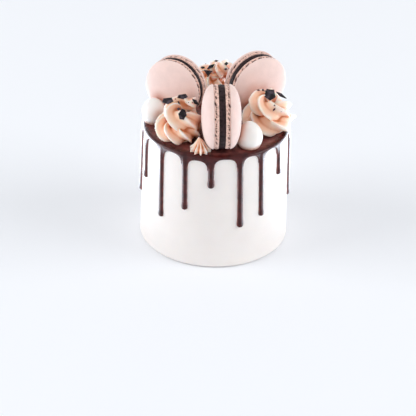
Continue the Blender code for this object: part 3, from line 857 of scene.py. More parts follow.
def shell_finish(look):
    """Almond crust: matt and finely grained, tan and craggy at its foot, with shade painted deep in the
    foot's holes and where other pieces come near.
    """
    made, tree = new_finish("almond_crust", look.shell_colour, {
        "Roughness": 0.72,
        "Specular IOR Level": 0.2,
        "Sheen Weight": 0.25,
        **soft_inside(0.12, (1.0, 0.6, 0.45), 2 * MM),
    })
    clouds = node_noise(tree, scale=130.0, detail=3.0)
    speckle = node_noise(tree, scale=2600.0, detail=2.0)
    crumble = node_noise(tree, scale=1400.0, detail=3.0)
    grain = node_noise(tree, scale=1800.0, detail=4.0)
    pores = node_noise(tree, scale=700.0, detail=3.0)
    crust = clouded(tree, clouds, look.shell_colour, dark=0.965, light=1.03)
    specks = node_ramp(tree, speckle, (0.62, (0, 0, 0)), (0.72, (0.35, 0.35, 0.35)))
    crust = node_mix(tree, specks, crust, shade(look.foot_colour, 0.8))
    crumb = clouded(tree, crumble, look.foot_colour, dark=0.78, light=1.22, stops=(0.35, 0.65))
    body = node_mix(tree, node_share(tree, "foot"), crust, crumb)
    # Painted shade: darker deep in the foot's holes and ruffle valleys
    deep = node_mix(tree, node_share(tree, "painted_crag_shade"), body, look.crag_shade_colour)
    # Painted shade where other pieces are near
    return finished(made, with_painted_shade(tree, deep), (grain, 0.06 * MM), (pores, 0.08 * MM))


def filling_finish(look):
    """Near-black chocolate filling with a rough cut edge."""
    sockets = {"Roughness": 0.5, "Specular IOR Level": 0.12}
    made, tree = new_finish("dark_filling", look.filling_colour, sockets)
    clouds = node_noise(tree, scale=500.0, detail=4.0)
    rough = node_noise(tree, scale=900.0, detail=4.0)
    tint = clouded(tree, clouds, look.filling_colour, dark=0.6, light=2.2)
    return finished(made, tint, (rough, 0.3 * MM))


def buttercream_finish(look):
    """Piped buttercream, cream in between, with a painted highlight on its crests and painted tan shade down
    in its folds.
    """
    sockets = {"Roughness": 0.42, "Specular IOR Level": 0.35, **soft_inside(0.5, (1.0, 0.5, 0.35), 3 * MM)}
    made, tree = new_finish("piped_buttercream", look.cream_colour, sockets)
    clouds = node_noise(tree, scale=160.0, detail=3.0)
    slow = node_noise(tree, scale=420.0, detail=3.0)
    fine = node_noise(tree, scale=1500.0, detail=2.0)
    # Painted highlight on the crests and painted shade in the folds
    stops = ((0.0, look.fold_shade_colour), (0.5, look.cream_colour), (0.95, look.crest_highlight_colour))
    tint = node_ramp(tree, node_share(tree, "crest"), *stops)
    tint = patched(tree, clouds, tint, dark=(0.95, 0.93, 0.91))
    # Painted shade, at half strength, where other pieces are near
    return finished(made, with_painted_shade(tree, tint, strength=0.5), (slow, 0.12 * MM), (fine, 0.04 * MM))


def flake_finish(look):
    """Broken dark chocolate with a bluish sheen painted in soft patches."""
    sockets = {"Roughness": 0.36, "Specular IOR Level": 0.3}
    made, tree = new_finish("chocolate_flakes", look.colour, sockets)
    clouds = node_noise(tree, scale=380.0, detail=4.0)
    rough = node_noise(tree, scale=800.0, detail=4.0)
    painted_sheen = node_ramp(tree, clouds, (0.42, look.colour), (0.75, FLAKE_PAINTED_SHEEN))
    return finished(made, painted_sheen, (rough, 0.25 * MM))


def sweet_finish(look):
    """Smooth cream coating with a soft satin face."""
    sockets = {"Roughness": 0.40, "Specular IOR Level": 0.3, **soft_inside(0.35, (1.0, 0.8, 0.65), 4 * MM)}
    made, tree = new_finish("cream_coating", look.colour, sockets)
    clouds = node_noise(tree, scale=140.0, detail=2.0)
    dimples = node_noise(tree, scale=350.0, detail=3.0)
    tint = clouded(tree, clouds, look.colour, dark=0.97, light=1.02)
    # Painted shade where other pieces are near
    return finished(made, with_painted_shade(tree, tint), (dimples, 0.08 * MM))


# Iced body

def wall_radius(height):
    """Radius of the iced side at a height."""
    share = 1 - height / BODY_HEIGHT
    return BODY_RIM_RADIUS + (BODY_FOOT_RADIUS - BODY_RIM_RADIUS) * share


def body_profile():
    """Radius and height up the iced side, from the underside over the rounded foot to the rim."""
    profile = [(BODY_FOOT_RADIUS - BODY_FOOT_ROUND, 0.0)]
    for i in range(1, BODY_FOOT_STEPS + 1):
        turn = math.pi / 2 * i / BODY_FOOT_STEPS
        radius = BODY_FOOT_RADIUS + BODY_FOOT_FLARE - BODY_FOOT_ROUND * (1 - math.sin(turn))
        profile.append((radius, BODY_FOOT_RISE * (1 - math.cos(turn))))
    foot_radius, foot_height = profile[-1]
    flare = foot_radius - wall_radius(foot_height)
    rim_height = BODY_HEIGHT - BODY_RIM_ROUND
    for i in range(1, BODY_ROWS):
        height = foot_height + (rim_height - foot_height) * i / (BODY_ROWS - 1)
        fade = math.exp(-(height - foot_height) / BODY_FLARE_FADE)
        profile.append((wall_radius(height) + flare * fade, height))
    for i in range(1, BODY_RIM_STEPS + 1):
        turn = math.pi / 2 * i / BODY_RIM_STEPS
        radius = wall_radius(rim_height) - BODY_RIM_ROUND * (1 - math.cos(turn))
        profile.append((radius, BODY_HEIGHT - BODY_RIM_ROUND * (1 - math.sin(turn))))
    return profile


def iced_body_mesh(look):
    """The iced body with the slight unevenness of a scraped side."""
    mesh = turned_mesh("iced_body", body_profile(), BODY_SIDES)
    points = points_of(mesh)
    wander = ripple(points * (1, 1, 1.4), scale=28.0, seed=1, octaves=2)
    streak = ripple(points * (0.25, 0.25, 5.0), scale=60.0, seed=2, octaves=2)
    upper = np.clip((BODY_HEIGHT - UNEVEN_FROM - points[:, 2]) / UNEVEN_FADE, 0, 1)
    lower = np.clip(points[:, 2] / UNEVEN_FOOT_FADE, 0, 1)
    swell = (wander + STREAK_SHARE * streak) * look.unevenness * upper * lower
    reach = reach_of(points)
    side = reach > 0.8 * BODY_RIM_RADIUS
    points[side, :2] *= (1 + swell[side] / reach[side])[:, None]
    set_points(mesh, points)
    return mesh


# Poured chocolate

def drip_list():
    """Turn from the front in degrees and tip height in metres for every drip, going round."""
    drips = []
    for turn, tip in FRONT_DRIPS:
        drips.append((turn, tip * MM))
    rng = random.Random(DRIP_SEED)
    last = FRONT_DRIPS[-1][0]
    behind = DRIP_COUNT - len(FRONT_DRIPS)
    step = (FRONT_DRIPS[0][0] + 360 - last) / (behind + 1)
    for i in range(behind):
        turn = last + step * (i + 1) + rng.uniform(-BACK_DRIP_UNEVEN, BACK_DRIP_UNEVEN)
        drips.append((turn, rng.uniform(*BACK_DRIP_TIPS) * MM))
    return drips


def around(radius, turn, height):
    """A point at a turn in degrees from the front."""
    angle = math.radians(turn)
    return Vector((radius * math.sin(angle), -radius * math.cos(angle), height))


def pour_columns(drips, half_width):
    """Turn and edge height of the columns that shape the disc's scalloped edge."""
    columns = []
    rng = random.Random(DRIP_SEED)
    half = math.degrees(half_width / BODY_RIM_RADIUS)
    for i, (turn, _) in enumerate(drips):
        after = drips[(i + 1) % len(drips)][0]
        if after < turn:
            after += 360
        start = turn + half
        end = after - half
        top = ARCH_HEIGHT - rng.uniform(0, ARCH_UNEVEN)
        if turn == LOW_ARCH_FROM:
            top = ARCH_HEIGHT - LOW_ARCH_BY
        for k in range(ARCH_POINTS):
            across = -math.cos(math.pi * k / (ARCH_POINTS - 1))
            fall = 1 - (1 - min(1.0, abs(across)) ** ARCH_POWER) ** (1 / ARCH_POWER)
            columns.append((start + (end - start) * (across + 1) / 2, top - ARCH_DROP * fall))
    return columns


def pour_section(edge):
    """Radius and height of the disc's section: over the shoulder, down to the edge and back under it."""
    outer = BODY_RIM_RADIUS + POUR_EDGE
    lip = wall_radius(edge) + POUR_EDGE * LIP_SHARE
    section = [(outer - into * MM, POUR_TOP - below * MM) for into, below in POUR_SHOULDER]
    section += [
        (lip, edge + LIP_HIGH),
        (lip - LIP_IN, edge - LIP_LOW),
        (wall_radius(edge) - POUR_SUNK, edge - LIP_LOW),
        (BODY_RIM_RADIUS - POUR_SUNK, BODY_HEIGHT - POUR_SUNK),
        (BODY_RIM_RADIUS - 2 * BODY_RIM_ROUND, BODY_HEIGHT - POUR_SUNK),
    ]
    return section


def add_disc(build, drips, half_width):
    """The poured disc with its scalloped edge, sunk a little into the icing."""
    rings = [[] for _ in pour_section(ARCH_HEIGHT)]
    for turn, edge in pour_columns(drips, half_width):
        for ring, (radius, height) in zip(rings, pour_section(edge)):
            ring.append(build.verts.new(around(radius, turn, height)))
    close_ends(build, rings)


def bead_at(above, bead):
    """What the bead at a drip's tip adds, as a share, at a height above the tip."""
    share, middle, spread = bead
    return share * math.exp(-((above - middle) / spread) ** 2)


def drip_width(below, above, long):
    """Share of the half width at a distance below the root and above the tip."""
    root = ROOT_FLARE * math.exp(-(below / ROOT_LENGTH) ** ROOT_POWER)
    neck = NECK_WIDTH - NECK_WAIST * math.sin(math.pi * below / long)
    return root + neck + bead_at(above, WIDE_BEAD)


def drip_depth(below, above):
    """Share of the depth at a distance below the root and above the tip."""
    root = ROOT_DEPTH + (1 - ROOT_DEPTH) * min(1.0, below / FULL_DEPTH_BELOW)
    return root * (BODY_DEPTH + bead_at(above, DEEP_BEAD))


def tip_close(above):
    """How open the rounded end of a drip still is: one above it, nearly nothing at the tip."""
    if above >= TIP_CAP:
        return 1.0
    return max(TIP_CLOSED, math.sqrt(max(0.0, 1 - (1 - above / TIP_CAP) ** 2)))


def add_drip(build, turn, tip, look, rng):
    """One drip: a rounded bead down the wall, wide at its root and full at its tip."""
    top = ARCH_HEIGHT - DRIP_ROOT_BELOW
    long = top - tip
    half = look.drip_half_width * rng.uniform(*DRIP_WIDTH_SHARES)
    sway = rng.uniform(-DRIP_SWAY, DRIP_SWAY)
    rings = []
    for i in range(DRIP_ROWS):
        below = long * math.sin(math.pi / 2 * i / (DRIP_ROWS - 1))
        height = top - below
        above = height - tip
        wide = half * drip_width(below, above, long) * tip_close(above)
        deep = look.drip_depth * drip_depth(below, above) * tip_close(above)
        sideways = sway * math.sin(math.pi * below / long) + math.tan(math.radians(DRIP_LEAN)) * below
        ring = []
        for j in range(DRIP_SIDES + 1):
            angle = math.pi * j / DRIP_SIDES
            radius = wall_radius(height) - POUR_SUNK + math.sin(angle) * (deep + POUR_SUNK)
            spread = math.degrees((sideways - math.cos(angle) * wide) / radius)
            ring.append(build.verts.new(around(radius, turn + spread, height)))
        rings.append(ring)
    close_ends(build, rings)


def poured_mesh(look):
    """The poured disc and all its drips, merged into one soft skin."""
    drips = drip_list()
    rng = random.Random(DRIP_SEED + 1)
    build = bmesh.new()
    add_disc(build, drips, look.drip_half_width)
    for turn, tip in drips:
        add_drip(build, turn, tip, look, rng)
    skin = one_skin(mesh_from(build, "poured_chocolate"), look.voxel, POUR_SOFTEN, POUR_KEEP)
    points = points_of(skin)
    reach = reach_of(points)
    waves = ripple(points * (1, 1, 0), scale=75.0, seed=4, octaves=2)
    level = (points[:, 2] > POUR_TOP - WAVES_DEEP) & (reach < BODY_RIM_RADIUS - WAVES_IN)
    points[level, 2] += (waves[level] - 0.5) * look.waviness
    set_points(skin, points)
    # Thin share: thin chocolate by the icing, also a painted highlight on the drips' edges, and a painted
    # sheet of reflected light over the top
    off_wall = reach - wall_radius(points[:, 2])
    edge = np.clip(1 - off_wall / THIN_EDGE, 0, 1) * (points[:, 2] < BODY_HEIGHT)
    sheet = SHEET_LIGHT_SHARE * np.clip((BODY_RIM_RADIUS - SHEET_IN - reach) / SHEET_FADE, 0, 1)
    set_share(skin, "thin", np.maximum(edge, sheet))
    return skin


# Macarons

def spread_of(values):
    """The middle and the half spread of some values."""
    return (values.min() + values.max()) / 2, (values.max() - values.min()) / 2


def disc_frame(node):
    """Frame of a flat round solid: local Z is its axis and the origin is its middle."""
    points = points_of(frame["nodes"][node].data)
    axis = Vector(np.linalg.svd(points - points.mean(0), full_matrices=False)[2][2])
    turned = frame_on(axis)
    local = moved(points, turned.transposed())
    middle = Vector([spread_of(local[:, i])[0] for i in range(3)])
    return frame_on(axis, turned @ middle)


def macaron_parts(key):
    """Frame of a macaron and, for its filling and shells, what their solids measure along its axis."""
    filling = f"macaron_{key}_filling"
    base = disc_frame(filling)
    parts = {}
    for node in (filling, *(f"macaron_{key}_shell_{side}" for side in MACARONS[key])):
        points = moved(points_of(frame["nodes"][node].data), base.inverted())
        middle, half = spread_of(points[:, 2])
        parts[node] = (middle, half, reach_of(points).max())
    return base, parts


def crag_list(rng, radius):
    """Holes round a foot: angle, height, half length, half height and depth share."""
    crags = []
    angle = rng.uniform(0, 0.1)
    while angle < 2 * math.pi:
        size = rng.random()
        half_long = (CRAG_HALF_LONG + CRAG_LONGER * size ** 3) * MM
        height = SHELL_FOOT * rng.uniform(*CRAG_LEVEL)
        half_high = (rng.uniform(*CRAG_HALF_HIGH) + CRAG_HIGHER * size ** 4) * MM
        crags.append((angle, height, half_long / radius, half_high, rng.uniform(*CRAG_DEEP)))
        angle += (half_long * 2 + rng.uniform(*CRAG_GAP) * MM) / radius
    return crags


def crag_pits(points, crags, radius):
    """How deep each point of a shell lies in the holes of its foot, from 0 to 1."""
    angle = np.arctan2(points[:, 1], points[:, 0])
    pit = np.zeros(len(points))
    for turn, height, half_long, half_high, deep in crags:
        along = (angle - turn + math.pi) % (2 * math.pi) - math.pi
        slant = height + along * radius * CRAG_SLANT
        off = np.abs(along / half_long) ** 3 + np.abs((points[:, 2] - slant) / half_high) ** 3
        pit = np.maximum(pit, deep * np.exp(-off))
    return pit


def shell_levels(dome):
    """Share of the radius and height up a shell, over its foot and its dome."""
    levels = [(SHELL_UNDER, 0.0)]
    for i in range(FOOT_ROWS):
        share = i / (FOOT_ROWS - 1)
        belly = FOOT_SIDE + FOOT_BELLY * math.sin(math.pi * share) - WAIST_IN * (share > WAIST_FROM)
        levels.append((belly, SHELL_FOOT * (0.03 + 0.95 * share)))
    for i in range(DOME_ROWS):
        share = math.cos(math.pi / 2 * (i + 0.5) / DOME_ROWS) ** DOME_ROUND
        levels.append((share * DOME_EDGE, SHELL_FOOT + dome * (1 - share ** DOME_POWER) ** 0.5))
    return levels


def shell_mesh(name, radius, dome, seed, look):
    """One macaron shell: a crumbly foot with holes under a smooth dome, its flat side at local zero."""
    crags = crag_list(random.Random(seed), radius)
    profile = [(share * radius, height) for share, height in shell_levels(dome)]
    mesh = turned_mesh(name, profile, SHELL_SIDES, SHELL_FOOT + dome)
    points = points_of(mesh)
    reach = reach_of(points)
    edge = reach > FOOT_EDGE * radius
    foot = np.clip((SHELL_FOOT - points[:, 2]) / FOOT_BLEND + 0.15, 0, 1) * edge
    pit = crag_pits(points, crags, radius) * edge
    ruffle = ripple(points, scale=520.0, seed=seed + 3, octaves=3)
    frill = ripple(points * (1, 1, 1.6), scale=190.0, seed=seed + 5, octaves=2)
    warp = ripple(points, scale=55.0, seed=seed + 7, octaves=2) * (1 - foot)
    inward = look.crag_depth * pit - FOOT_RUFFLE * (ruffle + frill) * foot - CRUST_WARP * warp
    scale = 1 - inward / np.maximum(reach, 1 * MM)
    scale[reach < FLAT_FACE * radius] = 1
    points[:, :2] *= scale[:, None]
    points[:, 2] += CRUST_LIFT * warp
    set_points(mesh, points)
    # Painted shade: the ruffles' valleys and the holes are stored here to be painted darker
    hollow = np.clip(-ruffle * 0.8 - 0.1, 0, 0.5) * foot
    set_share(mesh, "foot", foot)
    set_share(mesh, "painted_crag_shade", np.clip(pit * 1.5 + hollow, 0, 1))
    return mesh


def filling_mesh(name, radius, half, seed):
    """The dark filling, a disc with a slightly rough bulging edge."""
    profile = []
    for i in range(FILLING_ROWS):
        level = -1 + 2 * i / (FILLING_ROWS - 1)
        profile.append((radius - FILLING_ROUND * abs(level) ** 3, level * half))
    mesh = turned_mesh(name, profile, SHELL_SIDES)
    points = points_of(mesh)
    rough = ripple(points, scale=330.0, seed=seed, octaves=3) * FILLING_ROUGH
    reach = reach_of(points)
    points[:, :2] *= (1 + rough / reach)[:, None]
    set_points(mesh, points)
    return mesh


# Piped buttercream

def rope_rise(share):
    """How far the rope has climbed: zero along its first flat turn, one at the peak."""
    return max(0.0, (share - ROPE_FLAT) / (1 - ROPE_FLAT))


def hand_drift(share, seed):
    """Slow wander of the hand that pipes, from -1 to 1, another one for each seed."""
    return 0.6 * math.sin(19 * share + 3 * seed) + 0.4 * math.sin(43 * share + 5 * seed)


def rope_path(swirl, share):
    """Middle of the piped rope at a share of its length, from the middle of the swirl's foot."""
    radius = swirl.radius * MM
    start = math.radians(swirl.start)
    thick = radius * ROPE_THICK
    rise = rope_rise(share)
    angle = start - 2 * math.pi * swirl.turns * share
    wander = 1 + ROPE_WANDER * hand_drift(share, start)
    reach = (radius - thick) * math.sqrt(1 - rise ** ROPE_CLOSING) * wander
    low = ROPE_LOW * thick
    side = reach * math.cos(angle) + swirl.lean * MM * rise ** ROPE_LEAN
    height = low + (swirl.height * MM - low) * rise ** ROPE_CLIMB
    return Vector((side, reach * math.sin(angle), height))


def rope_width(swirl, share):
    """Radius of the piped rope at a share of its length, closing at the peak."""
    width = swirl.radius * MM * ROPE_THICK * (1 - ROPE_TAPER * rope_rise(share))
    end = 1 - (1 - share) / ROPE_END
    if end > 0:
        width *= ROPE_END_ROUND * math.sqrt(1 - end * end) + (1 - ROPE_END_ROUND) * (1 - end)
    if share < ROPE_START:
        width *= ROPE_START_WIDTH + (1 - ROPE_START_WIDTH) * share / ROPE_START
    uneven = 1 + ROPE_UNEVEN * hand_drift(share + ROPE_UNEVEN_SHIFT, swirl.start)
    return max(width, ROPE_LEAST) * uneven


def rope_ring(build, swirl, share, look):
    """One star-shaped section of the rope, turned by its twist and flat where it meets the chocolate."""
    here = rope_path(swirl, share)
    ahead = rope_path(swirl, min(1.0, share + ROPE_STEP))
    behind = rope_path(swirl, max(0.0, share - ROPE_STEP))
    along = (ahead - behind).normalized()
    side = along.cross(UP).normalized()
    over = side.cross(along).normalized()
    width = rope_width(swirl, share)
    twisted = 2 * math.pi * swirl.twists * share * (1 - swirl.slows * share)
    ring = []
    for j in range(ROPE_SIDES):
        turn = 2 * math.pi * j / ROPE_SIDES
        ridge = math.sin(look.points * (turn + twisted) / 2)
        groove = look.groove * math.hypot(ridge, GROOVE_ROUND) ** GROOVE_POWER
        reach = width * (RIDGE_REACH - groove)
        point = here + side * (reach * math.cos(turn)) + over * (reach * math.sin(turn))
        point.z = max(point.z, 0.0)
        ring.append(build.verts.new(point))
    return ring


def swirl_mesh(key, look):
    """A piped swirl as one soft skin: a star-shaped rope wound up to a peak round a core."""
    swirl = SWIRLS[key]
    build = bmesh.new()
    rings = [rope_ring(build, swirl, i / ROPE_STATIONS, look) for i in range(ROPE_STATIONS + 1)]
    close_ends(build, rings)
    depth = CORE_HIGH * swirl.height * MM
    below, above = (share * swirl.radius * MM for share in CORE_RADII)
    core = bmesh.ops.create_cone(
        build, cap_ends=True, segments=CORE_SIDES, radius1=below, radius2=above, depth=depth
    )
    bmesh.ops.translate(build, verts=core["verts"], vec=(0, 0, depth / 2))
    skin = one_skin(mesh_from(build, "swirl_" + key), look.voxel, SWIRL_SOFTEN)
    skin.transform(Matrix.Translation((swirl.x * MM, swirl.y * MM, TOP_REST)))
    return skin


def star_swell(level):
    """Share of the star's radius at a share of its height."""
    belly = math.sin(math.pi * min(1.0, level * STAR_BELLY_ENDS)) ** 2
    return max(STAR_LEAST, (1 - level ** STAR_TAPER) * (STAR_FOOT + STAR_BELLY * belly))


def star_mesh():
    """A small star piped in one squeeze, its ridges running up to a leaning peak."""
    sides = STAR_RIDGES * STAR_RIDGE_SIDES
    middle = Vector((STAR_PLACE[0] * MM, STAR_PLACE[1] * MM, TOP_REST))
    build = bmesh.new()
    rings = []
    for i in range(STAR_ROWS):
        level = i / STAR_ROWS
        radii = []
        for j in range(sides):
            wave = abs(math.sin(math.pi * STAR_RIDGES * j / sides))
            groove = STAR_GROOVE * math.hypot(wave, STAR_GROOVE_ROUND) * (1 - STAR_GROOVE_FADE * level)
            radii.append(STAR_RADIUS * star_swell(level) * (STAR_RIDGE_REACH - groove))
        ring = ring_at(build, radii, level * STAR_HEIGHT)
        turn = Matrix.Rotation(math.radians(STAR_TURN + STAR_TWIST * level), 3, "Z")
        for vert in ring:
            vert.co = turn @ vert.co + middle
            vert.co.x += STAR_LEAN * level ** 2
        rings.append(ring)
    close_peak(build, rings, middle + Vector((STAR_LEAN, 0, STAR_HEIGHT)))
    return mesh_from(build, "star_piping")


def press_clear(mesh, keys):
    """Push the points of a soft piece out of the macarons beside it, along each macaron's axis."""
    points = points_of(mesh)
    for key in keys:
        base, parts = macaron_parts(key)
        shells = [part for node, part in parts.items() if "shell" in node]
        radius = max(part[2] for part in shells)
        top = max(abs(middle) + half for middle, half, _ in shells)
        foot_top = min(abs(middle) - half for middle, half, _ in shells) + SHELL_FOOT
        local = moved(points, base.inverted())
        share = np.clip(reach_of(local) / radius, 0, 1)
        surface = foot_top + (top - foot_top) * np.sqrt(1 - share ** DOME_POWER) + PRESS_CLEARANCE
        inside = (share < 1) & (np.abs(local[:, 2]) < surface)
        local[inside, 2] = np.where(local[inside, 2] < 0, -surface[inside], surface[inside])
        points = moved(local, base)
    set_points(mesh, points)


# Flakes and crumbs

def tree_of(mesh):
    """Search tree over a mesh's faces."""
    return BVHTree.FromPolygons([v.co for v in mesh.vertices], [face.vertices for face in mesh.polygons])


def landing(tree, key, turn, slope):
    """Where a ray from outside towards the swirl's middle meets it, and the way out there."""
    swirl = SWIRLS[key]
    turn = math.radians(turn)
    slope = math.radians(slope)
    out = Vector((math.cos(turn) * math.cos(slope), math.sin(turn) * math.cos(slope), math.sin(slope)))
    middle = Vector((swirl.x, swirl.y, SWIRL_MIDDLE * swirl.height)) * MM + UP * TOP_REST
    hit = tree.ray_cast(middle + out * RAY_LENGTH, -out)[0]
    if hit is None:
        raise RuntimeError(f"A flake or crumb misses the {key} swirl")
    return hit, out


def spun_frame(point, out, spin):
    """A frame that lies at a point, its Z outwards, turned by a spin in degrees."""
    return frame_on(out, point) @ Matrix.Rotation(math.radians(spin), 4, "Z")


def rest_on(tree, matrix, length, width, sink):
    """Move a flake's frame along its own axis until it lies on the cream below, pressed in by a sink."""
    heights = []
    down = -(matrix.to_3x3() @ UP)
    for across in FLAKE_FEELERS:
        for up in FLAKE_FEELERS:
            start = matrix @ Vector((across * length, up * width, FLAKE_FEEL_FROM))
            hit, _, _, distance = tree.ray_cast(start, down)
            if hit is not None:
                heights.append(FLAKE_FEEL_FROM - distance)
    if not heights:
        raise RuntimeError("A flake has no cream under it")
    return matrix @ Matrix.Translation((0, 0, max(heights) - sink))


def shard_outline(length, width, corners, rng):
    """Corners of a broken shard that fills a length and width, with a chip along each edge."""
    points = []
    for i in range(corners):
        angle = 2 * math.pi * (i + rng.uniform(-SHARD_SKEW, SHARD_SKEW)) / corners - math.pi / 2
        points.append(Vector((math.cos(angle), math.sin(angle))))
    outline = []
    for here, after in zip(points, points[1:] + points[:1]):
        chip = rng.uniform(-SHARD_CHIP, SHARD_CHIP)
        outline += [here, here.lerp(after, rng.uniform(*SHARD_CHIP_AT)) * (1 + chip)]
    low = [min(point[axis] for point in outline) for axis in range(2)]
    high = [max(point[axis] for point in outline) for axis in range(2)]
    shape = []
    for point in outline:
        across = (point.x - low[0]) / (high[0] - low[0]) - 0.5
        up = (point.y - low[1]) / (high[1] - low[1]) - 0.5
        shape.append((across * length, up * width))
    return shape


def add_flake(build, flake, thickness, matrix, rng):
    """A broken flake: a thin plate with straight chipped edges and a slightly crowned face."""
    shape = shard_outline(flake.length * MM, flake.width * MM, flake.corners, rng)
    rings = []
    for level, share in FLAKE_LEVELS:
        ring = []
        for across, up in shape:
            ring.append(build.verts.new(matrix @ Vector((across * share, up * share, level * thickness))))
        rings.append(ring)
    crown = (FLAKE_LEVELS[-1][0] + rng.uniform(0.0, FLAKE_CROWN)) * thickness
    close_peak(build, rings, matrix @ Vector((0, 0, crown)))


def add_crumb(build, size, matrix, rng):
    """One small broken crumb."""
    made = bmesh.ops.create_icosphere(build, subdivisions=1, radius=size)
    for vert in made["verts"]:
        vert.co *= rng.uniform(*CRUMB_UNEVEN)
        vert.co.z *= CRUMB_FLAT
        vert.co = matrix @ vert.co


def flake_mesh(key, tree, look):
    """All the flakes and crumbs on one swirl."""
    rng = random.Random(FLAKE_SEED + sorted(SWIRLS).index(key))
    sink = FLAKE_SINK * look.thickness
    build = bmesh.new()
    for flake in FLAKES[key]:
        hit, out = landing(tree, key, flake.turn, flake.slope)
        facing = (out + FLAKE_FACING_SHARE * FLAKE_FACING).normalized()
        matrix = spun_frame(hit, facing, flake.spin)
        matrix = rest_on(tree, matrix, flake.length * MM, flake.width * MM, sink)
        add_flake(build, flake, look.thickness, matrix, rng)
    for turn, slope, spread, count in CRUMBS[key]:
        for _ in range(count):
            crumb_turn = turn + rng.gauss(0, spread)
            crumb_slope = min(CRUMB_STEEPEST, slope + rng.gauss(0, spread * CRUMB_SLOPE_SPREAD))
            hit, out = landing(tree, key, crumb_turn, crumb_slope)
            size = rng.uniform(*CRUMB_SIZE) * MM
            matrix = spun_frame(hit + out * CRUMB_LIFT * size, out, rng.uniform(0, 360))
            add_crumb(build, size, matrix, rng)
    mesh = mesh_from(build, f"flakes_{key}")
    mesh.set_sharp_from_angle(angle=math.radians(FLAKE_CREASE))
    return mesh


# Sweets

def sweet_share(level, point):
    """Radius share of a sweet at a share of its height; the larger the point, the less round its head."""
    if level < SWEET_WIDEST:
        return 1 - SWEET_BASE_IN * ((SWEET_WIDEST - level) / SWEET_WIDEST) ** SWEET_BASE_POWER
    above = (level - SWEET_WIDEST) / (1 - SWEET_WIDEST)
    return (1 - above ** (SWEET_HEAD_POWER - point)) ** (SWEET_HEAD_ROUND + SWEET_POINT_ROUND * point)


def sweet_shift(level, lean):
    """How far a sweet has leaned to the left at a share of its height."""
    return lean * max(0.0, level - SWEET_LEAN_FROM) ** 2


def sweet_mesh(node, lean, point):
    """A round cream sweet on a flattened base, its tip leaning a little."""
    low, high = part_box(node)
    height = high.z - low.z
    radius = (high.y - low.y) / 2
    middle = Vector(((low.x + high.x) / 2, (low.y + high.y) / 2, low.z))
    build = bmesh.new()
    rings = []
    for i in range(SWEET_ROWS):
        level = math.sin(0.5 * math.pi * i / SWEET_ROWS)
        ring = ring_at(build, [radius * sweet_share(level, point)] * SWEET_SIDES, level * height)
        for vert in ring:
            vert.co.x -= sweet_shift(level, lean)
            vert.co += middle
        rings.append(ring)
    close_peak(build, rings, middle + Vector((-sweet_shift(1.0, lean), 0, height)))
    return mesh_from(build, node + "_coated")


# Painted shade: warmer, darker colour where toppings nearly touch

def pale_pieces(scene):
    """The shells, sweets, swirls and star of the cake."""
    pale = []
    for piece in scene.objects:
        if piece.name.endswith(("_baked", "_coated")) or piece.name.startswith(("swirl_piped", "star_piped")):
            pale.append(piece)
    return pale


def same_macaron(first, second):
    """Whether two pieces are shells of one macaron."""
    starts = [f"macaron_{key}_" for key in MACARONS]
    return any(first.name.startswith(start) and second.name.startswith(start) for start in starts)


def set_painted_shade_share(pieces):
    """Store for each point of the pale pieces how near the others are, and how low and downward-facing it
    sits on the chocolate: 0 out of reach, 1 where they touch; the finishes paint shade from it.
    """
    trees = {}
    for piece in pieces:
        points = points_of(piece.data)
        trees[piece.name] = (tree_of(piece.data), points, points.min(0), points.max(0))
    for piece in pieces:
        points = trees[piece.name][1]
        normals = normals_of(piece.data)
        down = np.clip(CONTACT_DOWN - normals[:, 2], 0, 1)
        near = np.clip(1 - (points[:, 2] - TOP_REST) / (CONTACT_FOOT * CONTACT_REACH), 0, 1) * down
        for other in pieces:
            if other == piece or same_macaron(piece, other):
                continue
            tree, _, low, high = trees[other.name]
            inside = ((points > low - CONTACT_REACH) & (points < high + CONTACT_REACH)).all(1)
            for i in np.flatnonzero(inside):
                spot, _, _, distance = tree.find_nearest(points[i], CONTACT_REACH)
                if spot is None:
                    continue
                towards = Vector(normals[i]).dot(spot - Vector(points[i])) / max(distance, 1e-6)
                facing = max(0.0, (towards + CONTACT_FACING) / (1 + CONTACT_FACING))
                near[i] = max(near[i], (1 - distance / CONTACT_REACH) * facing)
        set_share(piece.data, "near", near)


# Studio

def add_light(name, spot, size, power, colour, target):
    """A soft oblong light that looks at a point."""
    light = bpy.data.lights.new(name, "AREA")
    light.shape = "RECTANGLE"
    light.size, light.size_y = size
    light.energy = power
    light.color = colour
    lamp = linked(name, light)
    lamp.location = spot
    lamp.rotation_euler = (target - Vector(spot)).to_track_quat("-Z", "Y").to_euler()
    return lamp


def add_gloss_card(name, spot, size, power, target):
    """A bright card close beside the cake that shows only in glossy surfaces."""
    card = add_light(name, spot, size, power, CARD_COLOUR, target)
    card.visible_camera = False
    card.visible_diffuse = False


def add_side_lights(look):
    """The soft light and the two gloss cards at each side."""
    aim = Vector((0, 0, SIDE_LIGHT_AIM))
    for name, side in (("soft_left", -1), ("soft_right", 1)):
        out, behind, up = SIDE_LIGHT
        add_light(name, (side * out, behind, up), SIDE_LIGHT_SIZE, look.side_power, SKY_COLOUR, aim)
        out, behind, wide, high = STANDING_CARD
        spot = Vector((side * out, behind, high / 2))
        middle = Vector((0, 0, high / 2))
        add_gloss_card(name + "_standing_card", spot, (wide, high), look.card_power, middle)
        out, behind, wide, deep = LYING_CARD
        spot = Vector((side * out, behind, LYING_CARD_LIFT))
        add_gloss_card(name + "_lying_card", spot, (wide, deep), look.low_card_power, spot + UP)


def add_floor(look):
    """The plain pale floor."""
    build = bmesh.new()
    bmesh.ops.create_grid(build, x_segments=1, y_segments=1, size=FLOOR_HALF)
    mesh = mesh_from(build, "studio_floor")
    finish, _ = new_finish("pale_floor", look.floor_colour, {"Roughness": 0.6, "Specular IOR Level": 0.0})
    mesh.materials.append(finish)
    floor = linked("studio_floor", mesh)


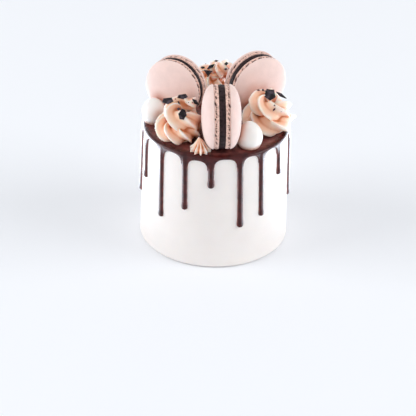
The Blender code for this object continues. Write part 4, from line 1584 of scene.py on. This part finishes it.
def add_surroundings(look):
    """White surroundings that are a little brighter behind than in front."""
    world = bpy.data.worlds.new("white_surroundings")
    world.use_nodes = True
    tree = world.node_tree
    sky = tree.nodes["Background"]
    sky.inputs["Strength"].default_value = look.sky
    direction = tree.nodes.new("ShaderNodeTexCoord")
    split = tree.nodes.new("ShaderNodeSeparateXYZ")
    depth = tree.nodes.new("ShaderNodeMapRange")
    depth.inputs["From Min"].default_value = -1.0
    tree.links.new(direction.outputs["Generated"], split.inputs["Vector"])
    tree.links.new(split.outputs["Y"], depth.inputs["Value"])
    front = shade(SKY_COLOUR, look.front_share)
    tint = node_ramp(tree, depth.outputs["Result"], (SKY_CHANGE[0], front), (SKY_CHANGE[1], SKY_COLOUR))
    tree.links.new(tint, sky.inputs["Color"])
    bpy.context.scene.world = world


def add_camera():
    """The camera that looks down at the front of the cake."""
    lift = math.radians(CAMERA_LIFT)
    roll = math.radians(CAMERA_ROLL)
    back = Vector((0, -math.cos(lift), math.sin(lift)))
    up = Vector((0, math.sin(lift), math.cos(lift)))
    right = Vector((1, 0, 0))
    turned_right = math.cos(roll) * right + math.sin(roll) * up
    turned_up = -math.sin(roll) * right + math.cos(roll) * up
    view = bpy.data.cameras.new("studio_camera")
    view.sensor_width = SENSOR_WIDTH
    view.lens = CAMERA_LENS
    camera = linked("studio_camera", view)
    matrix = Matrix((turned_right, turned_up, back)).transposed().to_4x4()
    matrix.translation = CAMERA_TARGET + back * CAMERA_DISTANCE
    camera.matrix_world = matrix
    bpy.context.scene.camera = camera


# Steps of the add-on

class CAKE_OT_ice_body(bpy.types.Operator):
    """Cover the body with scraped icing"""

    bl_idname = "cake.ice_body"
    bl_label = "Ice the Body"
    looks = ("icing",)

    def execute(self, context):
        look = context.scene.drip_cake.icing
        place("iced_body", iced_body_mesh(look), icing_finish(look), "icing", "cake_body")
        return {"FINISHED"}


class CAKE_OT_pour_chocolate(bpy.types.Operator):
    """Pour chocolate over the top and let it drip down the side"""

    bl_idname = "cake.pour_chocolate"
    bl_label = "Pour the Chocolate"
    looks = ("chocolate",)

    def execute(self, context):
        look = context.scene.drip_cake.chocolate
        place("chocolate_pour", poured_mesh(look), chocolate_finish(look), "ganache", "ganache")
        return {"FINISHED"}


class CAKE_OT_stand_macarons(bpy.types.Operator):
    """Stand the macarons on the chocolate"""

    bl_idname = "cake.stand_macarons"
    bl_label = "Stand the Macarons"
    looks = ("macaron",)

    def execute(self, context):
        look = context.scene.drip_cake.macaron
        crust = shell_finish(look)
        dark = filling_finish(look)
        for number, key in enumerate(sorted(MACARONS)):
            base, parts = macaron_parts(key)
            for extra, (node, (middle, half, radius)) in enumerate(parts.items()):
                seed = 10 * number + extra
                if "filling" in node:
                    reach = radius + FILLING_BULGE
                    mesh = filling_mesh(node + "_piped", reach, half + FILLING_OVERLAP, seed)
                    mesh.transform(base)
                    place(node + "_piped", mesh, dark, "macaron_filling", node)
                    continue
                dome = 2 * half - SHELL_FOOT
                mesh = shell_mesh(node + "_baked", radius, dome, seed, look)
                flip = Matrix() if middle > 0 else Matrix.Rotation(math.pi, 4, "X")
                lift = Matrix.Translation((0, 0, abs(middle) - half))
                mesh.transform(base @ flip @ lift)
                place(node + "_baked", mesh, crust, "macaron_shell", node)
        return {"FINISHED"}


class CAKE_OT_pipe_swirls(bpy.types.Operator):
    """Pipe the buttercream swirls and scatter chocolate flakes on them"""

    bl_idname = "cake.pipe_swirls"
    bl_label = "Pipe the Swirls"
    looks = ("buttercream", "flake")

    def execute(self, context):
        settings = context.scene.drip_cake
        cream = buttercream_finish(settings.buttercream)
        dark = flake_finish(settings.flake)
        for key in SWIRLS:
            mesh = swirl_mesh(key, settings.buttercream)
            press_clear(mesh, BESIDE_SWIRL[key])
            set_crest(mesh, SWIRL_CRESTS)
            tree = tree_of(mesh)
            place("swirl_piped_" + key, mesh, cream, "buttercream", "swirl_" + key)
            place("swirl_flakes_" + key, flake_mesh(key, tree, settings.flake), dark, "ganache")
        return {"FINISHED"}


class CAKE_OT_pipe_star(bpy.types.Operator):
    """Pipe the small star at the front"""

    bl_idname = "cake.pipe_star"
    bl_label = "Pipe the Star"
    looks = ("buttercream",)

    def execute(self, context):
        mesh = star_mesh()
        press_clear(mesh, ("front",))
        set_crest(mesh, STAR_CRESTS)
        finish = bpy.data.materials.get("piped_buttercream")
        if finish is None:
            finish = buttercream_finish(context.scene.drip_cake.buttercream)
        place("star_piped", mesh, finish, "buttercream", "piped_star")
        return {"FINISHED"}


class CAKE_OT_set_sweets(bpy.types.Operator):
    """Set the round cream sweets on the chocolate"""

    bl_idname = "cake.set_sweets"
    bl_label = "Set the Sweets"
    looks = ("sweet",)

    def execute(self, context):
        look = context.scene.drip_cake.sweet
        finish = sweet_finish(look)
        for node, (beside, share) in SWEETS.items():
            mesh = sweet_mesh(node, share * look.lean, share * look.point)
            press_clear(mesh, (beside,))
            place(node + "_coated", mesh, finish, "cream", node)
        return {"FINISHED"}


class CAKE_OT_paint_contact_shade(bpy.types.Operator):
    """Paint warmer, darker shade on the toppings where they nearly touch"""

    bl_idname = "cake.warm_contacts"
    bl_label = "Paint Contact Shade"
    looks = ()

    def execute(self, context):
        pale = pale_pieces(context.scene)
        if not pale:
            raise RuntimeError("There are no toppings yet")
        set_painted_shade_share(pale)
        return {"FINISHED"}


class CAKE_OT_set_studio(bpy.types.Operator):
    """Set up the pale floor, the soft lights and the camera"""

    bl_idname = "cake.set_studio"
    bl_label = "Set the Studio"
    looks = ("studio",)

    def execute(self, context):
        look = context.scene.drip_cake.studio
        add_floor(look)
        add_side_lights(look)
        add_surroundings(look)
        add_camera()
        context.scene.view_settings.view_transform = "Standard"
        return {"FINISHED"}


OPERATORS = (
    CAKE_OT_ice_body,
    CAKE_OT_pour_chocolate,
    CAKE_OT_stand_macarons,
    CAKE_OT_pipe_swirls,
    CAKE_OT_pipe_star,
    CAKE_OT_set_sweets,
    CAKE_OT_paint_contact_shade,
    CAKE_OT_set_studio,
)


class CAKE_PT_dresser(bpy.types.Panel):
    """Steps for dressing the cake, each with its settings"""

    bl_idname = "CAKE_PT_dresser"
    bl_label = "Drip Cake"
    bl_space_type = "VIEW_3D"
    bl_region_type = "UI"
    bl_category = "Cake"

    def draw(self, context):
        settings = context.scene.drip_cake
        for step in OPERATORS:
            box = self.layout.box()
            box.operator(step.bl_idname)
            for key in step.looks:
                look = getattr(settings, key)
                for setting in type(look).__annotations__:
                    box.prop(look, setting)


CLASSES = (
    IcingLook,
    ChocolateLook,
    MacaronLook,
    ButtercreamLook,
    FlakeLook,
    SweetLook,
    StudioLook,
    CakeSettings,
    *OPERATORS,
    CAKE_PT_dresser,
)


def register():
    for made in CLASSES:
        bpy.utils.register_class(made)
    bpy.types.Scene.drip_cake = PointerProperty(type=CakeSettings)


def unregister():
    del bpy.types.Scene.drip_cake
    for made in reversed(CLASSES):
        bpy.utils.unregister_class(made)


def main():
    register()
    bpy.ops.cake.ice_body()
    bpy.ops.cake.pour_chocolate()
    bpy.ops.cake.stand_macarons()
    bpy.ops.cake.pipe_swirls()
    bpy.ops.cake.pipe_star()
    bpy.ops.cake.set_sweets()
    bpy.ops.cake.warm_contacts()
    bpy.ops.cake.set_studio()


if __name__ == "__main__":
    main()
